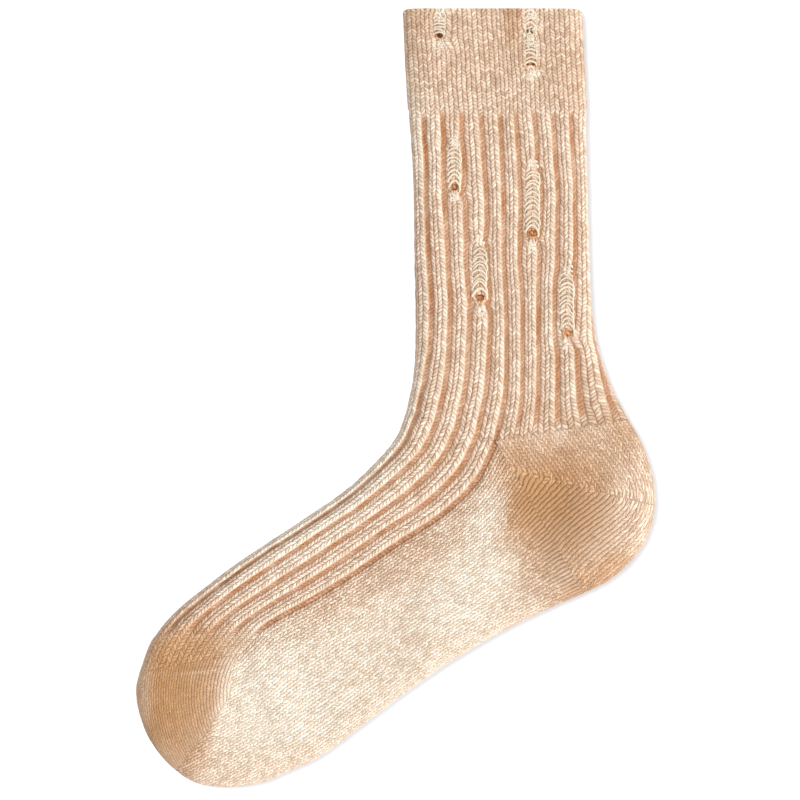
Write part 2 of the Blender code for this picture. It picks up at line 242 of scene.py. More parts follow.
PATCHES = [
    # cuff: worn and dulled, orange-brown stains under the brim
    Patch(41.0, 146.0, 0.0, 62.0, 27.0, "peach", 0.50),
    Patch(9.5, 160.5, 90.0, 9.0, 5.5, "rust", 0.40),
    Patch(49.0, 161.0, 90.0, 14.0, 4.4, "rust", 0.62),
    # painted shade along the cuff's front edge, which faces away from the light
    Patch(3.5, 140.0, 90.0, 42.0, 3.2, "tan", 0.20),
    Patch(72.0, 132.0, 90.0, 17.0, 9.0, "peach", 0.50),
    Patch(19.3, 161.4, 0.0, 4.4, 1.8, "bleached", 0.60),
    Patch(20.4, 149.5, 0.0, 2.2, 1.6, "bleached", 0.70),
    Patch(57.5, 136.0, 20.0, 4.0, 1.8, "bleached", 0.75),
    Patch(51.5, 134.6, 20.0, 4.0, 1.2, "cream", 0.60),
    # leg: painted shade along the front edge, which faces away from the light, and painted
    # highlight along the back edge, which faces it
    Patch(5.0, 40.0, 90.0, 90.0, 5.0, "peach", 0.08),
    Patch(82.0, 60.0, 88.0, 95.0, 4.0, "cream", 0.60),
    Patch(8.0, 111.0, 90.0, 20.0, 9.0, "bleached", 0.50),
    Patch(92.0, -2.0, 118.0, 16.0, 5.0, "tan", 0.30),
    # painted highlight where the leg slopes down to the heel
    Patch(82.0, 1.0, -10.0, 22.0, 8.0, "bleached", 0.80),
    Patch(66.4, 27.0, 85.0, 6.0, 2.2, "bleached", 0.50),
    Patch(57.5, 69.0, 0.0, 4.2, 3.2, "tan", 0.40),
    # heel: tan all over, with painted shade in the hollow and painted highlight along its rim
    Patch(74.0, -40.0, 75.0, 47.0, 35.0, "peach", 0.85),
    # painted shade in the heel's hollow
    Patch(66.0, -50.0, 60.0, 32.0, 20.0, "tan", 0.80),
    Patch(60.0, -46.0, 75.0, 20.0, 12.0, "tan", 0.80),
    Patch(54.0, -32.5, 165.0, 4.0, 1.6, "rust", 0.45),
    Patch(50.5, -31.0, 100.0, 17.0, 9.0, "tan", 0.60),
    Patch(84.0, -78.0, 35.0, 24.0, 9.0, "tan", 0.70),
    Patch(78.7, -6.3, 0.0, 3.4, 2.8, "cream", 0.65),
    Patch(68.7, -15.0, 90.0, 4.0, 3.0, "cream", 0.50),
    Patch(97.0, -16.0, 120.0, 22.0, 7.0, "tan", 0.38),
    # painted highlight along the heel's rim, which faces the light
    Patch(101.0, -42.0, 85.0, 24.0, 9.0, "cream", 0.62),
    # sole: bleached, brightest before the heel and at the ball of the foot, where painted
    # highlight lies on the swells as well; more painted highlight along the instep's edge
    Patch(-5.0, -108.0, 33.0, 78.0, 26.0, "bleached", 0.48),
    Patch(32.0, -80.0, 45.0, 24.0, 14.0, "bleached", 0.80),
    Patch(-52.0, -124.0, 60.0, 26.0, 20.0, "bleached", 1.00),
    Patch(-42.0, -118.0, 33.0, 42.0, 22.0, "bleached", 0.50),
    Patch(39.0, -38.0, 60.0, 22.0, 9.0, "peach", 0.32),
    Patch(37.0, -52.0, 75.0, 16.0, 8.0, "bleached", 0.75),
    Patch(-30.0, -133.0, 33.0, 16.0, 7.0, "bleached", 0.80),
    Patch(-12.0, -77.0, 34.0, 52.0, 7.0, "peach", 0.38),
    Patch(6.0, -70.0, 35.0, 18.0, 8.0, "peach", 0.35),
    Patch(-62.0, -98.0, 20.0, 14.0, 8.0, "bleached", 0.45),
    # painted highlight along the instep's rounded edge, where it falls away
    Patch(-2.0, -13.0, 70.0, 30.0, 8.0, "bleached", 0.90),
    Patch(-43.0, -58.0, 31.0, 44.0, 11.0, "bleached", 0.90),
    Patch(-14.0, -42.0, 40.0, 30.0, 12.0, "bleached", 0.18),
    # toe: tan cap and the plain band before the seam, with the seam's faint line
    Patch(-99.0, -126.0, 62.0, 36.0, 20.0, "tan", 0.97),
    Patch(-84.0, -104.0, 10.0, 26.0, 9.0, "tan", 0.60),
    Patch(-87.0, -146.0, 75.0, 20.0, 9.0, "tan", 0.60),
    Patch(-79.0, -124.0, 80.0, 15.0, 6.0, "tan", 0.45),
    Patch(-107.0, -122.0, 90.0, 22.0, 5.0, "cream", 0.35),
    Patch(-82.0, -113.2, 5.0, 13.0, 0.8, "rust", 0.45),
    Patch(-82.0, -115.0, 5.0, 13.0, 0.8, "cream", 0.20),
    # painted highlights on the ridges beside the ball of the toe
    Patch(-64.0, -114.5, 70.0, 6.0, 3.0, "bleached", 0.80),
    Patch(-45.0, -120.0, 60.0, 6.0, 3.0, "bleached", 0.80),
]

# Pale fuzz bunched at both ends of each ladder.
BUNCHES = [Patch(ladder.across, ladder.first + 3.2, 90.0, 2.4, 3.0, "bleached", 0.75)
           for ladder in LADDERS]
BUNCHES += [Patch(ladder.hole.x, ladder.hole.y - ladder.hole.size - 2.6, 90.0, 1.8, 2.8,
                  "bleached", 0.65) for ladder in LADDERS]

# What strays from an even course: by how much, the lengths over which that changes, and the
# number of the noise.  Arms and courses stray in parts of one, the cloth's face in mm.
Wander = namedtuple("Wander", "amount across along seed")

COURSE_WANDERS = [Wander(0.18, 2.6, 2.6, 11), Wander(0.16, 1.3, 1.3, 13)]
ARM_WANDERS = [Wander(0.08, 1.9, 1.9, 12), Wander(0.10, 1.1, 1.3, 16)]
FACE_WANDERS = [Wander(0.12, 1.1, 1.1, 5), Wander(0.18, 5.0, 5.0, 6)]
CHANNEL_WANDERS = [Wander(0.25, 3.0, 9.0, 14)]      # the painted shade of the ribs' channels
HEEL_WANDERS = [Wander(1.0, 2.2, 2.2, 15)]          # the line where the heel begins
RIB_WANDER = Wander(0.35, 23.0, 11.0, 8)            # a channel's place, in mm
BLOTCHES = [Wander(0.5, 9.0, 9.0, 3), Wander(0.5, 4.0, 4.0, 4)]

NOISE_TABLE = np.random.default_rng(7).random((256, 256))


def blend(value, other, part):
    """A value with a part of it replaced by another."""
    return value * (1 - part) + other * part


def soft_noise(x, y, seed=0):
    """Smooth noise from -1 to 1: a lattice of seeded numbers one unit apart, eased between."""
    column, row = np.floor(x).astype(int), np.floor(y).astype(int)
    fx, fy = x - column, y - row
    fx, fy = fx * fx * (3 - 2 * fx), fy * fy * (3 - 2 * fy)

    def corner(i, j):
        return NOISE_TABLE[(row + j + 37 * seed) % 256, (column + i + 91 * seed) % 256]

    lower = blend(corner(0, 0), corner(1, 0), fx)
    upper = blend(corner(0, 1), corner(1, 1), fx)
    return 2 * blend(lower, upper, fy) - 1


def wandered(value, wanders, x, y):
    """A value with the noises of its wanders added to it."""
    for wander in wanders:
        value = value + wander.amount * soft_noise(x / wander.across, y / wander.along,
                                                   wander.seed)
    return value


def ease(value, start, end):
    """0 below start, 1 beyond end, and a smooth step between."""
    t = np.clip((value - start) / (end - start), 0, 1)
    return t * t * (3 - 2 * t)


def growth(value, start):
    """0 below start, growing evenly beyond it, with a smooth bend between."""
    return np.logaddexp(0, (value - start) / GROWTH)


def turned(spot, x, y):
    """Distances from a spot along its direction and square to it."""
    turn = np.radians(spot.turn)
    along = (x - spot.x) * np.cos(turn) + (y - spot.y) * np.sin(turn)
    across = (y - spot.y) * np.cos(turn) - (x - spot.x) * np.sin(turn)
    return along, across


def bell(spot, x, y, power=1):
    """1 at a fold's or patch's middle, falling to 1/e at its half length and half width."""
    along, across = turned(spot, x, y)
    return np.exp(-((along / spot.length) ** 2 + (across / spot.width) ** 2) ** power)


def fold_height(x, y):
    """Sum of the folds at a point of the upper side."""
    return sum(fold.height * bell(fold, x, y) for fold in FOLDS)


def added_up(steps):
    """Distances from each row's start, 0 first, of the points that its steps lead to."""
    return np.concatenate([np.zeros(steps.shape[:-1] + (1,)), np.cumsum(steps, axis=-1)],
                          axis=-1)


CURVE_STEPS = 48            # to each stretch between a table's rows
ARC_STEPS = 128             # over the quarter of an ellipse at an edge
MEASURED_GRID = (200, 40)   # rows and columns of an arm whose length is measured


def smooth_rows(rows, count):
    """count + 1 rows at even distances on Catmull-Rom curves through a table's columns."""
    table = np.array(rows, dtype=float)
    padded = np.vstack([2 * table[0] - table[1], table, 2 * table[-1] - table[-2]])
    p0, p1, p2, p3 = (padded[i:len(padded) - 3 + i, None] for i in range(4))
    t = (np.arange(CURVE_STEPS) / CURVE_STEPS)[None, :, None]
    curve = 0.5 * (2 * p1 + (p2 - p0) * t + (2 * p0 - 5 * p1 + 4 * p2 - p3) * t ** 2
                   + (3 * p1 - p0 - 3 * p2 + p3) * t ** 3)
    curve = np.vstack([curve.reshape(-1, table.shape[1]), table[-1]])
    steps = np.diff(curve, axis=0)
    pairs = table.shape[1] // 2
    along = added_up(sum(np.hypot(steps[:, 2 * i], steps[:, 2 * i + 1]) for i in range(pairs)))
    wanted = np.linspace(0, along[-1], count + 1)
    return np.stack([np.interp(wanted, along, column) for column in curve.T], axis=1)


# One arm of a section: along its rows the side line, the edge and the height, on its grid the
# fraction from the side line to the edge, and whether the edge is the back one.
Arm = namedtuple("Arm", "side edge height fraction back")


def fractions(rows, columns):
    """Even fractions from the side line to the edge, the same for every row."""
    return np.repeat(np.linspace(0, 1, columns + 1)[None], rows + 1, axis=0)


def tube_arms(rounds, grid):
    """The front and the back arm of a tube, on a grid of rows and columns."""
    table = smooth_rows([[*r.front, *r.side, *r.back, r.height] for r in rounds], grid[0])
    return [Arm(table[:, 2:4], edge, table[:, 6], fractions(*grid), back)
            for edge, back in ((table[:, 0:2], False), (table[:, 4:6], True))]


def pocket_arm(corner, rim, grid):
    """The arm of a turned section, whose rows fan out from the corner of a round to a rim."""
    count = grid[0] + 1
    return Arm(np.repeat([corner.side], count, axis=0), smooth_rows(rim, grid[0]),
               np.full(count, corner.height), fractions(*grid), True)


def arm_surface(arm, upper):
    """Points from the side line (fraction 0) to an edge (1), evenly spaced along the cloth.

    The upper side is level and rounds down to half the height on a quarter of an ellipse as
    wide as the edge's reach; the under side mirrors it.  Folds lift only the upper side.
    """
    angle = np.linspace(0, np.pi / 2, ARC_STEPS + 1)
    arc = np.hypot(EDGE_REACH * np.cos(angle), np.mean(arm.height) / 2 * np.sin(angle))
    arc = added_up((arc[1:] + arc[:-1]) / 2 * np.diff(angle))
    out = arm.edge - arm.side
    reach = np.hypot(*out.T)[:, None]
    level = reach - EDGE_REACH
    distance = arm.fraction * (level + arc[-1])
    down = np.interp(distance - level, arc, angle)
    flat = np.where(distance < level, distance, level + EDGE_REACH * np.sin(down))
    rise = np.where(distance < level, 1.0, np.cos(down))
    xy = arm.side[:, None] + out[:, None] * (flat / reach)[..., None]
    half = arm.height[:, None] / 2
    if upper:
        z = half + (half + fold_height(xy[..., 0], xy[..., 1])) * rise
    else:
        z = half * (1 - rise)
    return np.concatenate([xy, z[..., None]], axis=2)


def rolled_out(base):
    """Plan of an arm with its edge rolled out flat: each row keeps its direction and lengths."""
    along = added_up(np.linalg.norm(np.diff(base, axis=1), axis=2))
    way = base[:, -1, :2] - base[:, 0, :2]
    way = way / np.maximum(np.linalg.norm(way, axis=1, keepdims=True), 1e-9)
    flat = base[:, :1, :2] + way[:, None] * along[..., None]
    return flat[..., 0], flat[..., 1]


def outward(points):
    """Unit normals of a grid of points, turned so that the first column's look upwards."""
    normal = np.cross(np.gradient(points, axis=1), np.gradient(points, axis=0))
    normal /= np.maximum(np.linalg.norm(normal, axis=2, keepdims=True), 1e-9)
    return normal * np.sign(normal[len(normal) // 2, 2, 2])


def course_lengths(points, arms):
    """Distance knitted along the cloth at each point.

    A row's own distance is the mean over its points.  Within a wale the courses stay square to
    it however its row slants: a point adds its step from the wale's middle along the wale.
    """
    along = added_up(np.linalg.norm(np.diff(points, axis=0), axis=2).mean(axis=1))
    per_arm = np.gradient(points, axis=1) / np.gradient(arms, axis=1)[..., None]
    wale = np.gradient(points, axis=0) - per_arm * np.gradient(arms, axis=0)[..., None]
    wale /= np.linalg.norm(wale, axis=2, keepdims=True)
    middle = 2 * np.floor(arms / 2) + 1
    return along[:, None] + (arms - middle) * (per_arm * wale).sum(axis=2)


def knitted_before(rounds, back):
    """Distance knitted along one arm of a section, the mean over its points."""
    base = arm_surface(tube_arms(rounds, MEASURED_GRID)[back], True)
    return np.linalg.norm(np.diff(base, axis=0), axis=2).mean(axis=1).sum()


def rib_arm(rib, strength):
    """The arm number at a rib coordinate, where whole numbers are the channels' middles; where
    the ribs have no strength the arms are evenly wide."""
    ribbed = 4 * np.floor(rib) + np.interp(rib % 1, RIB_PHASES, RIB_ARMS)
    return blend(4 * rib + 0.5, ribbed, strength)


def rib_section(rib, column):
    """One column of the rib's section at a rib coordinate."""
    return np.interp(rib % 1, [row.phase for row in RIB_SECTION],
                     [getattr(row, column) for row in RIB_SECTION])


def strand_relief(arms, courses, lean, band):
    """Height of the yarn from 0 in the gaps to 1 on a strand.

    Each arm holds strands that climb by lean courses across it, to the right on odd arms and
    to the left on even ones; a strand is round across and narrows at the arm's borders.  Where
    band is 1 the strands have closed up and only the grooves between the arms are left.
    """
    across = arms % 1 - 0.5
    side = np.where(np.floor(arms) % 2 == 1, 1.0, -1.0)
    strand = (courses - side * lean * across) % 1 - 0.5
    relief = np.sqrt(np.clip(1 - (2 * strand) ** 2, 0, 1)) * (1 - (2 * across) ** 4)
    closed = 1 - np.abs(2 * across) ** 3
    return blend(relief, closed, band)


# What the knitting of an arm gives at each point: arm numbers, distance knitted in mm, depth below
# the crests in mm, shares of dark (the channel's colour, with painted shade), of painted highlight
# and of smoothness, and the strength, lean and closing up of its stitches.
Knit = namedtuple("Knit", "arms lengths depth dark shine smooth strength lean band")


def plain_knit(arms, lengths, lean=1.0, band=0.0, dark=0.0, strength=1.0, smooth=0.0):
    """Knitting without ribs."""
    def full(value):
        return np.broadcast_to(np.asarray(value, float), arms.shape)
    return Knit(arms, lengths, full(0), full(dark), full(0), full(smooth), full(strength),
                full(lean), full(band))


def past_heel_line(x, y):
    """Distance from the line where the sole meets the heel, positive in the heel."""
    return (x - ANKLE.side[0]) * HEEL_WAY[0] + (y - ANKLE.side[1]) * HEEL_WAY[1]


def heel_knit(x, y):
    """The heel's knitting, whose wales meet in chevrons along its gore.

    With g along the gore and n square to it, a wale is a line of equal g + bend cot a, where
    bend is |n| rounded at the gore, and more so beyond the gore's far end.  Below the gore the
    wales steepen towards the sole, by a share that dies away with the distance from it.
    """
    g, n = turned(HEEL_GORE, x, y)
    sharp, spread = HEEL_ROUNDING
    k = sharp + spread * growth(g, HEEL_GORE.length)
    bend = np.sqrt(n * n + k * k)
    slant = np.radians(np.where(n > 0, *HEEL_SLANTS))
    arms = (g + bend / np.tan(slant)) / HEEL_STEP
    drift, from_sole, from_gore = HEEL_DRIFT
    beyond = np.maximum(past_heel_line(x, y), 0)
    arms = arms - drift * np.exp(-beyond / from_sole) * ease(-n, 0, from_gore)
    lengths = g * np.cos(slant) - bend * np.sin(slant)
    closed, opening, opened = HEEL_CLOSED
    band_end, smooth_end, rim = HEEL_RIM_OPEN
    band = ease(-n, 0.0, closed) * (1 - ease(-n, opening, opened)) * (1 - ease(x, band_end, rim))
    above = ease(n, -2, 4)
    return plain_knit(arms, lengths, band=0.8 * band, strength=0.8 - 0.15 * above,
                      smooth=0.45 * above * (1 - ease(x, smooth_end, rim)))


def side_of_line(line, x, y):
    """Signed distance to a bent line, positive on the left of its direction."""
    best = np.full(np.shape(x), np.inf)
    signed = np.zeros(np.shape(x))
    for (ax, ay), (bx, by) in zip(line, line[1:]):
        dx, dy = bx - ax, by - ay
        t = np.clip(((x - ax) * dx + (y - ay) * dy) / (dx * dx + dy * dy), 0, 1)
        px, py = x - ax - t * dx, y - ay - t * dy
        distance = np.hypot(px, py)
        signed = np.where(distance < best, np.sign(dx * py - dy * px) * distance, signed)
        best = np.minimum(best, distance)
    return signed


def toe_knit(x, y):
    """The toe's knitting: the sole's wales run on to the gore, and beyond it the cap's wales
    come down from the toe seam in arcs."""
    out, up = TOE_FAN[0] - x, y - TOE_FAN[1]
    reach = np.hypot(out, up)
    more, start = TOE_CROWDING
    cap_arms = (reach + more * growth(reach, start)) / TOE_ARM
    cap_lengths = TOE_COURSES_AT * np.arctan2(up, out)
    corner, heelward = np.array(FOOT[-1].side), np.array(FOOT[-1].back)
    wale = np.radians(SOLE_WAY)
    square = np.array([np.sin(wale), -np.cos(wale)])
    width = (heelward - corner) @ square
    part = ((x - corner[0]) * square[0] + (y - corner[1]) * square[1]) / width
    sole_arms = SOLE_ARM + 2 * SOLE_WALES * part
    sole_lengths = x * np.cos(wale) + y * np.sin(wale)
    cap = side_of_line(TOE_GORE, x, y) < 0
    worn = 0.3 * ease(reach, *TOE_WORN)
    return plain_knit(np.where(cap, cap_arms, sole_arms),
                      np.where(cap, cap_lengths, sole_lengths),
                      lean=np.where(cap, 1.0, SOLE_LEAN), band=np.where(cap, 0.35, 0.0),
                      strength=np.where(cap, 0.7 - worn, 0.6),
                      smooth=np.where(cap, 0.35 + worn, 0.2))


# ---------------------------------------------------------------------------
# Cloth strips: one arm of a section, upper side and under side, with its thickness
# ---------------------------------------------------------------------------

# Fine steps of each piece's grid, down its arm and across it, and fine steps to one coarse step
# on the under side, down and across, and on the lining inside.
GRIDS = {"knit_cuff": (112, 100), "knit_leg": (360, 104), "knit_heel": (232, 168),
         "knit_instep": (400, 100), "knit_sole": (360, 180), "knit_toe": (240, 128)}
UNDER_ROWS, UNDER_COLUMNS, INNER = 4, 2, 4
MERGE_TUBE, MERGE_ARM = 0.03, 0.0001    # distance within which doubled vertices are merged


class Mesh:
    """Vertices with their own values, and faces of any size, gathered as arrays."""

    def __init__(self):
        self.points, self.values, self.faces = [], [], []
        self.count = 0

    def add(self, points, values):
        """Add a grid of points with their values, and return the grid of their numbers."""
        shape = points.shape[:-1]
        self.points.append(points.reshape(-1, 3))
        self.values.append(values.reshape(-1, values.shape[-1]))
        numbers = np.arange(self.count, self.count + int(np.prod(shape))).reshape(shape)
        self.count += numbers.size
        return numbers

    def gather(self, faces, flip, material):
        """Add faces, turned over if they flip."""
        self.faces.append((faces[:, ::-1] if flip else faces, material))

    def quads(self, grid, flip, material=0, keep=None):
        """The faces of a grid of vertex numbers, all or those that are kept."""
        corners = (grid[:-1, :-1], grid[:-1, 1:], grid[1:, 1:], grid[1:, :-1])
        faces = np.stack(corners, axis=-1)
        self.gather(faces.reshape(-1, 4) if keep is None else faces[keep], flip, material)

    def bridge(self, fine, coarse, flip, material=0):
        """Faces between a fine line of vertices and a coarse one beside it."""
        ratio = (len(fine) - 1) // (len(coarse) - 1)
        starts = np.arange(len(coarse) - 1) * ratio
        run = fine[starts[:, None] + np.arange(ratio, -1, -1)[None, :]]
        self.gather(np.hstack([coarse[:-1, None], coarse[1:, None], run]), flip, material)


def strip_cloth(mesh, strip, flip, walled=False, slots=()):
    """Add one arm of a section as cloth with a thickness, open at its ladders' holes.

    strip has upper and under grids of outer points, upper and under grids of inner points,
    and the values at each; columns run from the side line to the edge.  A walled one has its
    thickness closed along the side line too.
    """

    def coarse(name, rows=1, columns=1, last=None):
        """Vertices of one grid of the strip at coarse steps, up to a last column."""
        return mesh.add(*(strip[key][::rows, ::columns][:, :last]
                          for key in (name, name + "_values")))

    upper = coarse("upper")
    under = coarse("under", UNDER_ROWS, UNDER_COLUMNS, -1)
    under = np.hstack([under, upper[::UNDER_ROWS, -1:]])
    inner = coarse("inner_upper", INNER, INNER)
    lower = coarse("inner_under", INNER, INNER, -1)
    lower = np.hstack([lower, inner[:, -1:]])

    kept = np.ones((upper.shape[0] - 1, upper.shape[1] - 1), bool)
    kept_inner = np.ones((inner.shape[0] - 1, inner.shape[1] - 1), bool)
    for slot in slots:
        rows = slice(slot.hole_top, slot.bottom + 1)
        columns = slice(slot.left, slot.right + 1)
        top, bottom, left, right = (step // INNER for step in slot[1:5])
        kept[slot.hole_top:slot.bottom, slot.left:slot.right] = False
        kept_inner[top:bottom, left:right] = False
        mesh.bridge(upper[slot.hole_top, columns], inner[top, left:right + 1], not flip)
        mesh.bridge(upper[slot.bottom, columns], inner[bottom, left:right + 1], flip)
        mesh.bridge(upper[rows, slot.left], inner[top:bottom + 1, left], flip)
        mesh.bridge(upper[rows, slot.right], inner[top:bottom + 1, right], not flip)

    mesh.quads(upper, not flip, keep=kept)
    mesh.quads(under[:, :-1], flip)
    mesh.bridge(upper[:, -1], under[:, -2], not flip)
    mesh.quads(inner, flip, 1, kept_inner)
    mesh.quads(lower, not flip, 1)
    for end, turn in ((0, flip), (-1, not flip)):
        mesh.bridge(upper[end], inner[end], turn)
        mesh.bridge(under[end], lower[end], not turn)
    if walled:
        mesh.bridge(upper[:, 0], inner[:, 0], not flip)
        mesh.bridge(under[:, 0], lower[:, 0], flip)


def new_mesh(name, points, faces, materials, attributes):
    """A mesh of points in mm and groups of equal faces, each with the number of its material.

    An attribute is a name, a type, the name of its field and its values at the points.
    """
    loops = np.concatenate([group.ravel() for group, _ in faces])
    sizes = np.concatenate([np.full(len(group), group.shape[1]) for group, _ in faces])
    slots = np.concatenate([np.full(len(group), slot) for group, slot in faces])
    data = bpy.data.meshes.new(name)
    data.vertices.add(len(points))
    data.vertices.foreach_set("co", (points * MM).astype(np.float32).ravel())
    data.loops.add(len(loops))
    data.loops.foreach_set("vertex_index", loops.astype(np.int32))
    data.polygons.add(len(sizes))
    data.polygons.foreach_set("loop_start", (np.cumsum(sizes) - sizes).astype(np.int32))
    data.polygons.foreach_set("material_index", slots.astype(np.int32))
    data.update(calc_edges=True)
    for key, kind, field, values in attributes:
        layer = data.attributes.new(key, kind, "POINT")
        layer.data.foreach_set(field, values.astype(np.float32).ravel())
    for material in materials:
        data.materials.append(material)
    return data


def in_scene(name, data):
    """A new object of its data, in the scene."""
    piece = bpy.data.objects.new(name, data)
    bpy.context.scene.collection.objects.link(piece)
    return piece


def opaque(colour):
    """Colours with an alpha of 1."""
    return np.concatenate([colour, np.ones(colour.shape[:-1] + (1,))], axis=-1)


def mesh_object(name, mesh, materials, merge):
    """A Blender object of a gathered mesh, its doubled vertices merged.

    A vertex's values are its arm and course numbers, which go into the UV map, its lean, band
    and smoothness, and its colour.
    """
    values = np.concatenate(mesh.values)
    attributes = [(key, "FLOAT", "value", values[:, column])
                  for column, key in enumerate(("lean", "band", "smooth"), 2)]
    attributes.append(("tint", "FLOAT_COLOR", "color", opaque(values[:, 5:8])))
    data = new_mesh(name, np.concatenate(mesh.points), mesh.faces, materials, attributes)
    corners = np.empty(len(data.loops), np.int32)
    data.loops.foreach_get("vertex_index", corners)
    stitches = data.uv_layers.new(name="stitches")
    stitches.data.foreach_set("uv", values[corners, :2].astype(np.float32).ravel())
    work = bmesh.new()
    work.from_mesh(data)
    bmesh.ops.remove_doubles(work, verts=work.verts, dist=merge * MM)
    work.to_mesh(data)
    work.free()
    data.shade_smooth()
    return in_scene(name, data)


BLOTCH_TONE = 0.05      # how much paler and darker the yarn's blotches are
BLEACHED_AND_HIGHLIGHT_TONE = 0.08    # how much paler bleached yarn and painted highlights are
HIGHLIGHT_TONE = 0.05       # how much paler a crest's painted highlight is
BAND_TONE = 0.16        # how much darker closed-up stitches are
BLEACHED_AND_HIGHLIGHT_SMOOTH = 0.35  # how far bleaching and painted highlight smooth the stitches

# The colour round a hole, outside (orange-brown) and inside (painted shade): its strength and how
# far it reaches.
HOLE_BROWN_AND_SHADE = ((0.55, 0.8), (0.95, 2.5))
HOLE_THINNING = (0.55, 1.2)     # part of the wall that is worn away there, and how far
WALL_UNDER_RIBS = 0.6           # part of a rib's depth that its lining follows

# The far lining lies crumpled up under the holes: how high it rises towards the near one, how
# far beyond a hole and across it, the room it leaves, and how much lower it is at the mouth,
# from one height to another.
LINING_RISE, LINING_REACH, LINING_ROOM = 1.15, (3.5, 5.0), 0.3
LINING_AT_MOUTH = (0.25, 142.0, 150.0)

# The mouth's corners, where the cuff folds over: how far they drop, how near to the edge they
# begin, as a power of the fraction, and how fast the drop fades down the cuff.
MOUTH_DROP, MOUTH_CORNER, MOUTH_FADE = 2.4, 22, 2.2


def base_tint(x, y):
    """The yarn's colour at a point, cream with each patch laid over it in turn (some are painted
    shade and highlight), and the share of bleaching and painted highlight there."""
    colours = bpy.context.scene.sock_colours
    tint = np.empty(np.shape(x) + (3,))
    tint[:] = colours.cream
    bleached = np.zeros(np.shape(x))
    for patch in PATCHES + BUNCHES:
        part = patch.amount * bell(patch, x, y, 2)
        tint = blend(tint, np.array(getattr(colours, patch.yarn)), part[..., None])
        bleached = blend(bleached, patch.yarn == "bleached", part)
    lift = 1 + BLOTCH_TONE * wandered(0, BLOTCHES, x, y) + BLEACHED_AND_HIGHLIGHT_TONE * bleached
    return tint * lift[..., None], bleached


def yarn_values(made, arms, courses, x, y, upper):
    """What the outer and the inner points of a side store: their stitches' coordinates and state
    and the yarn's colour, orange-brown round the holes, with painted shade inside them."""
    colours = bpy.context.scene.sock_colours
    tint, bleached = base_tint(x, y)
    # Painted shade: the channel's colour laid into channels, grooves and flanks that face away
    # from the light; painted highlight on the lit edges.
    tint = blend(tint, np.array(colours.channel), made.dark[..., None])
    tint = tint * (1 + HIGHLIGHT_TONE * made.shine[..., None]) \
        * (1 - BAND_TONE * made.band[..., None])
    smooth = 1 - (1 - made.smooth) * (1 - BLEACHED_AND_HIGHLIGHT_SMOOTH * bleached)
    stitches = np.stack([arms, courses, made.lean, made.band, smooth], axis=-1)
    # Orange-brown round each hole outside, painted shade inside it.
    for (strength, reach), tinted_side in zip(HOLE_BROWN_AND_SHADE, (upper, True)):
        hole_brown_and_shade = (strength * tinted_side) * near_hole(x, y, reach)[..., None]
        colour = blend(tint, np.array(colours.hole_brown_and_shade), hole_brown_and_shade)
        yield np.concatenate([stitches, colour], axis=-1)


def round_mouth(base, fraction):
    """Draw the mouth's corners down where the cuff folds over at its edges."""
    top = base[0, 0, 1]
    base[..., 1] -= MOUTH_DROP * fraction ** MOUTH_CORNER \
        * np.exp((base[..., 1] - top) / MOUTH_FADE)


def raise_lining(strip, x, y):
    """Crumple the under side's lining up towards the upper one's below the holes."""
    gap = strip["inner_upper"][..., 2] - strip["inner_under"][..., 2]
    lower, start, end = LINING_AT_MOUTH
    strip["inner_under"][..., 2] += np.maximum(gap - LINING_ROOM, 0) \
        * np.minimum(LINING_RISE * near_hole(x, y, *LINING_REACH), 1 - lower * ease(y, start, end))


def knit_strip(arm, field, slots=(), mouth=False):
    """Outer and inner points of one arm, with its knitting pressed into the outer side.

    field gives the Knit of the upper or the under side from its points.
    """
    knit = bpy.context.scene.sock_knit
    bases = [arm_surface(arm, upper) for upper in (True, False)]
    for slot in slots:
        place_slot(bases[0], slot)
    count = arm.fraction.shape[1]
    normals = outward(np.concatenate([bases[0], bases[1][:, -2::-1]], axis=1))
    normals = [normals[:, :count], normals[:, :count - 2:-1]]
    if mouth:
        for base in bases:
            round_mouth(base, arm.fraction)
    strip = {}
    for name, base, normal, upper in (("upper", bases[0], normals[0], True),
                                      ("under", bases[1], normals[1], False)):
        made = sink_web(field(arm, base, upper), slots if upper else ())
        x, y = base[..., 0], base[..., 1]
        courses = wandered(made.lengths / knit.course, COURSE_WANDERS, x, y)
        arms = wandered(made.arms, ARM_WANDERS, x, y)
        relief = strand_relief(arms, courses, made.lean, made.band)
        rough = wandered(0, FACE_WANDERS, x, y)
        depth = made.depth + made.strength * (knit.stitch_depth * (1 - relief) - upper * rough)
        strip[name] = base - normal * np.maximum(depth, 0)[..., None]
        worn, reach = HOLE_THINNING
        wall = WALL * (1 - worn * upper * near_hole(x, y, reach)) + WALL_UNDER_RIBS * made.depth
        strip["inner_" + name] = base - normal * wall[..., None]
        strip[name + "_values"], strip["inner_" + name + "_values"] = yarn_values(
            made, arms, courses, x, y, upper)
    raise_lining(strip, bases[1][..., 0], bases[1][..., 1])
    return strip


INSTEP_DRAWN = 0.25     # part of the instep in which its channels leave the leg's places
WANDER_APART = 3.3      # steps in the noise from one channel's wander to the next


def leg_strays(base, back):
    """The strays of the channels on one arm of the leg, from the side line outwards."""
    heights = [row.height for row in STRAYS][::-1]
    table = [row.back if back else (0.0,) + row.front for row in STRAYS][::-1]
    table = np.array(table) if back else -np.array(table)[:, ::-1]
    middle_height = base[:, base.shape[1] // 2, 1]
    return [np.interp(middle_height, heights, column) for column in table.T]


def cuff_strays(base, back):
    """The cuff's columns stray by as much as the leg's ribs where they begin."""
    start = np.array([[[0.0, STRAYS[0].height, 0.0]]])
    return [column * np.ones(len(base)) for column in leg_strays(start, back)]


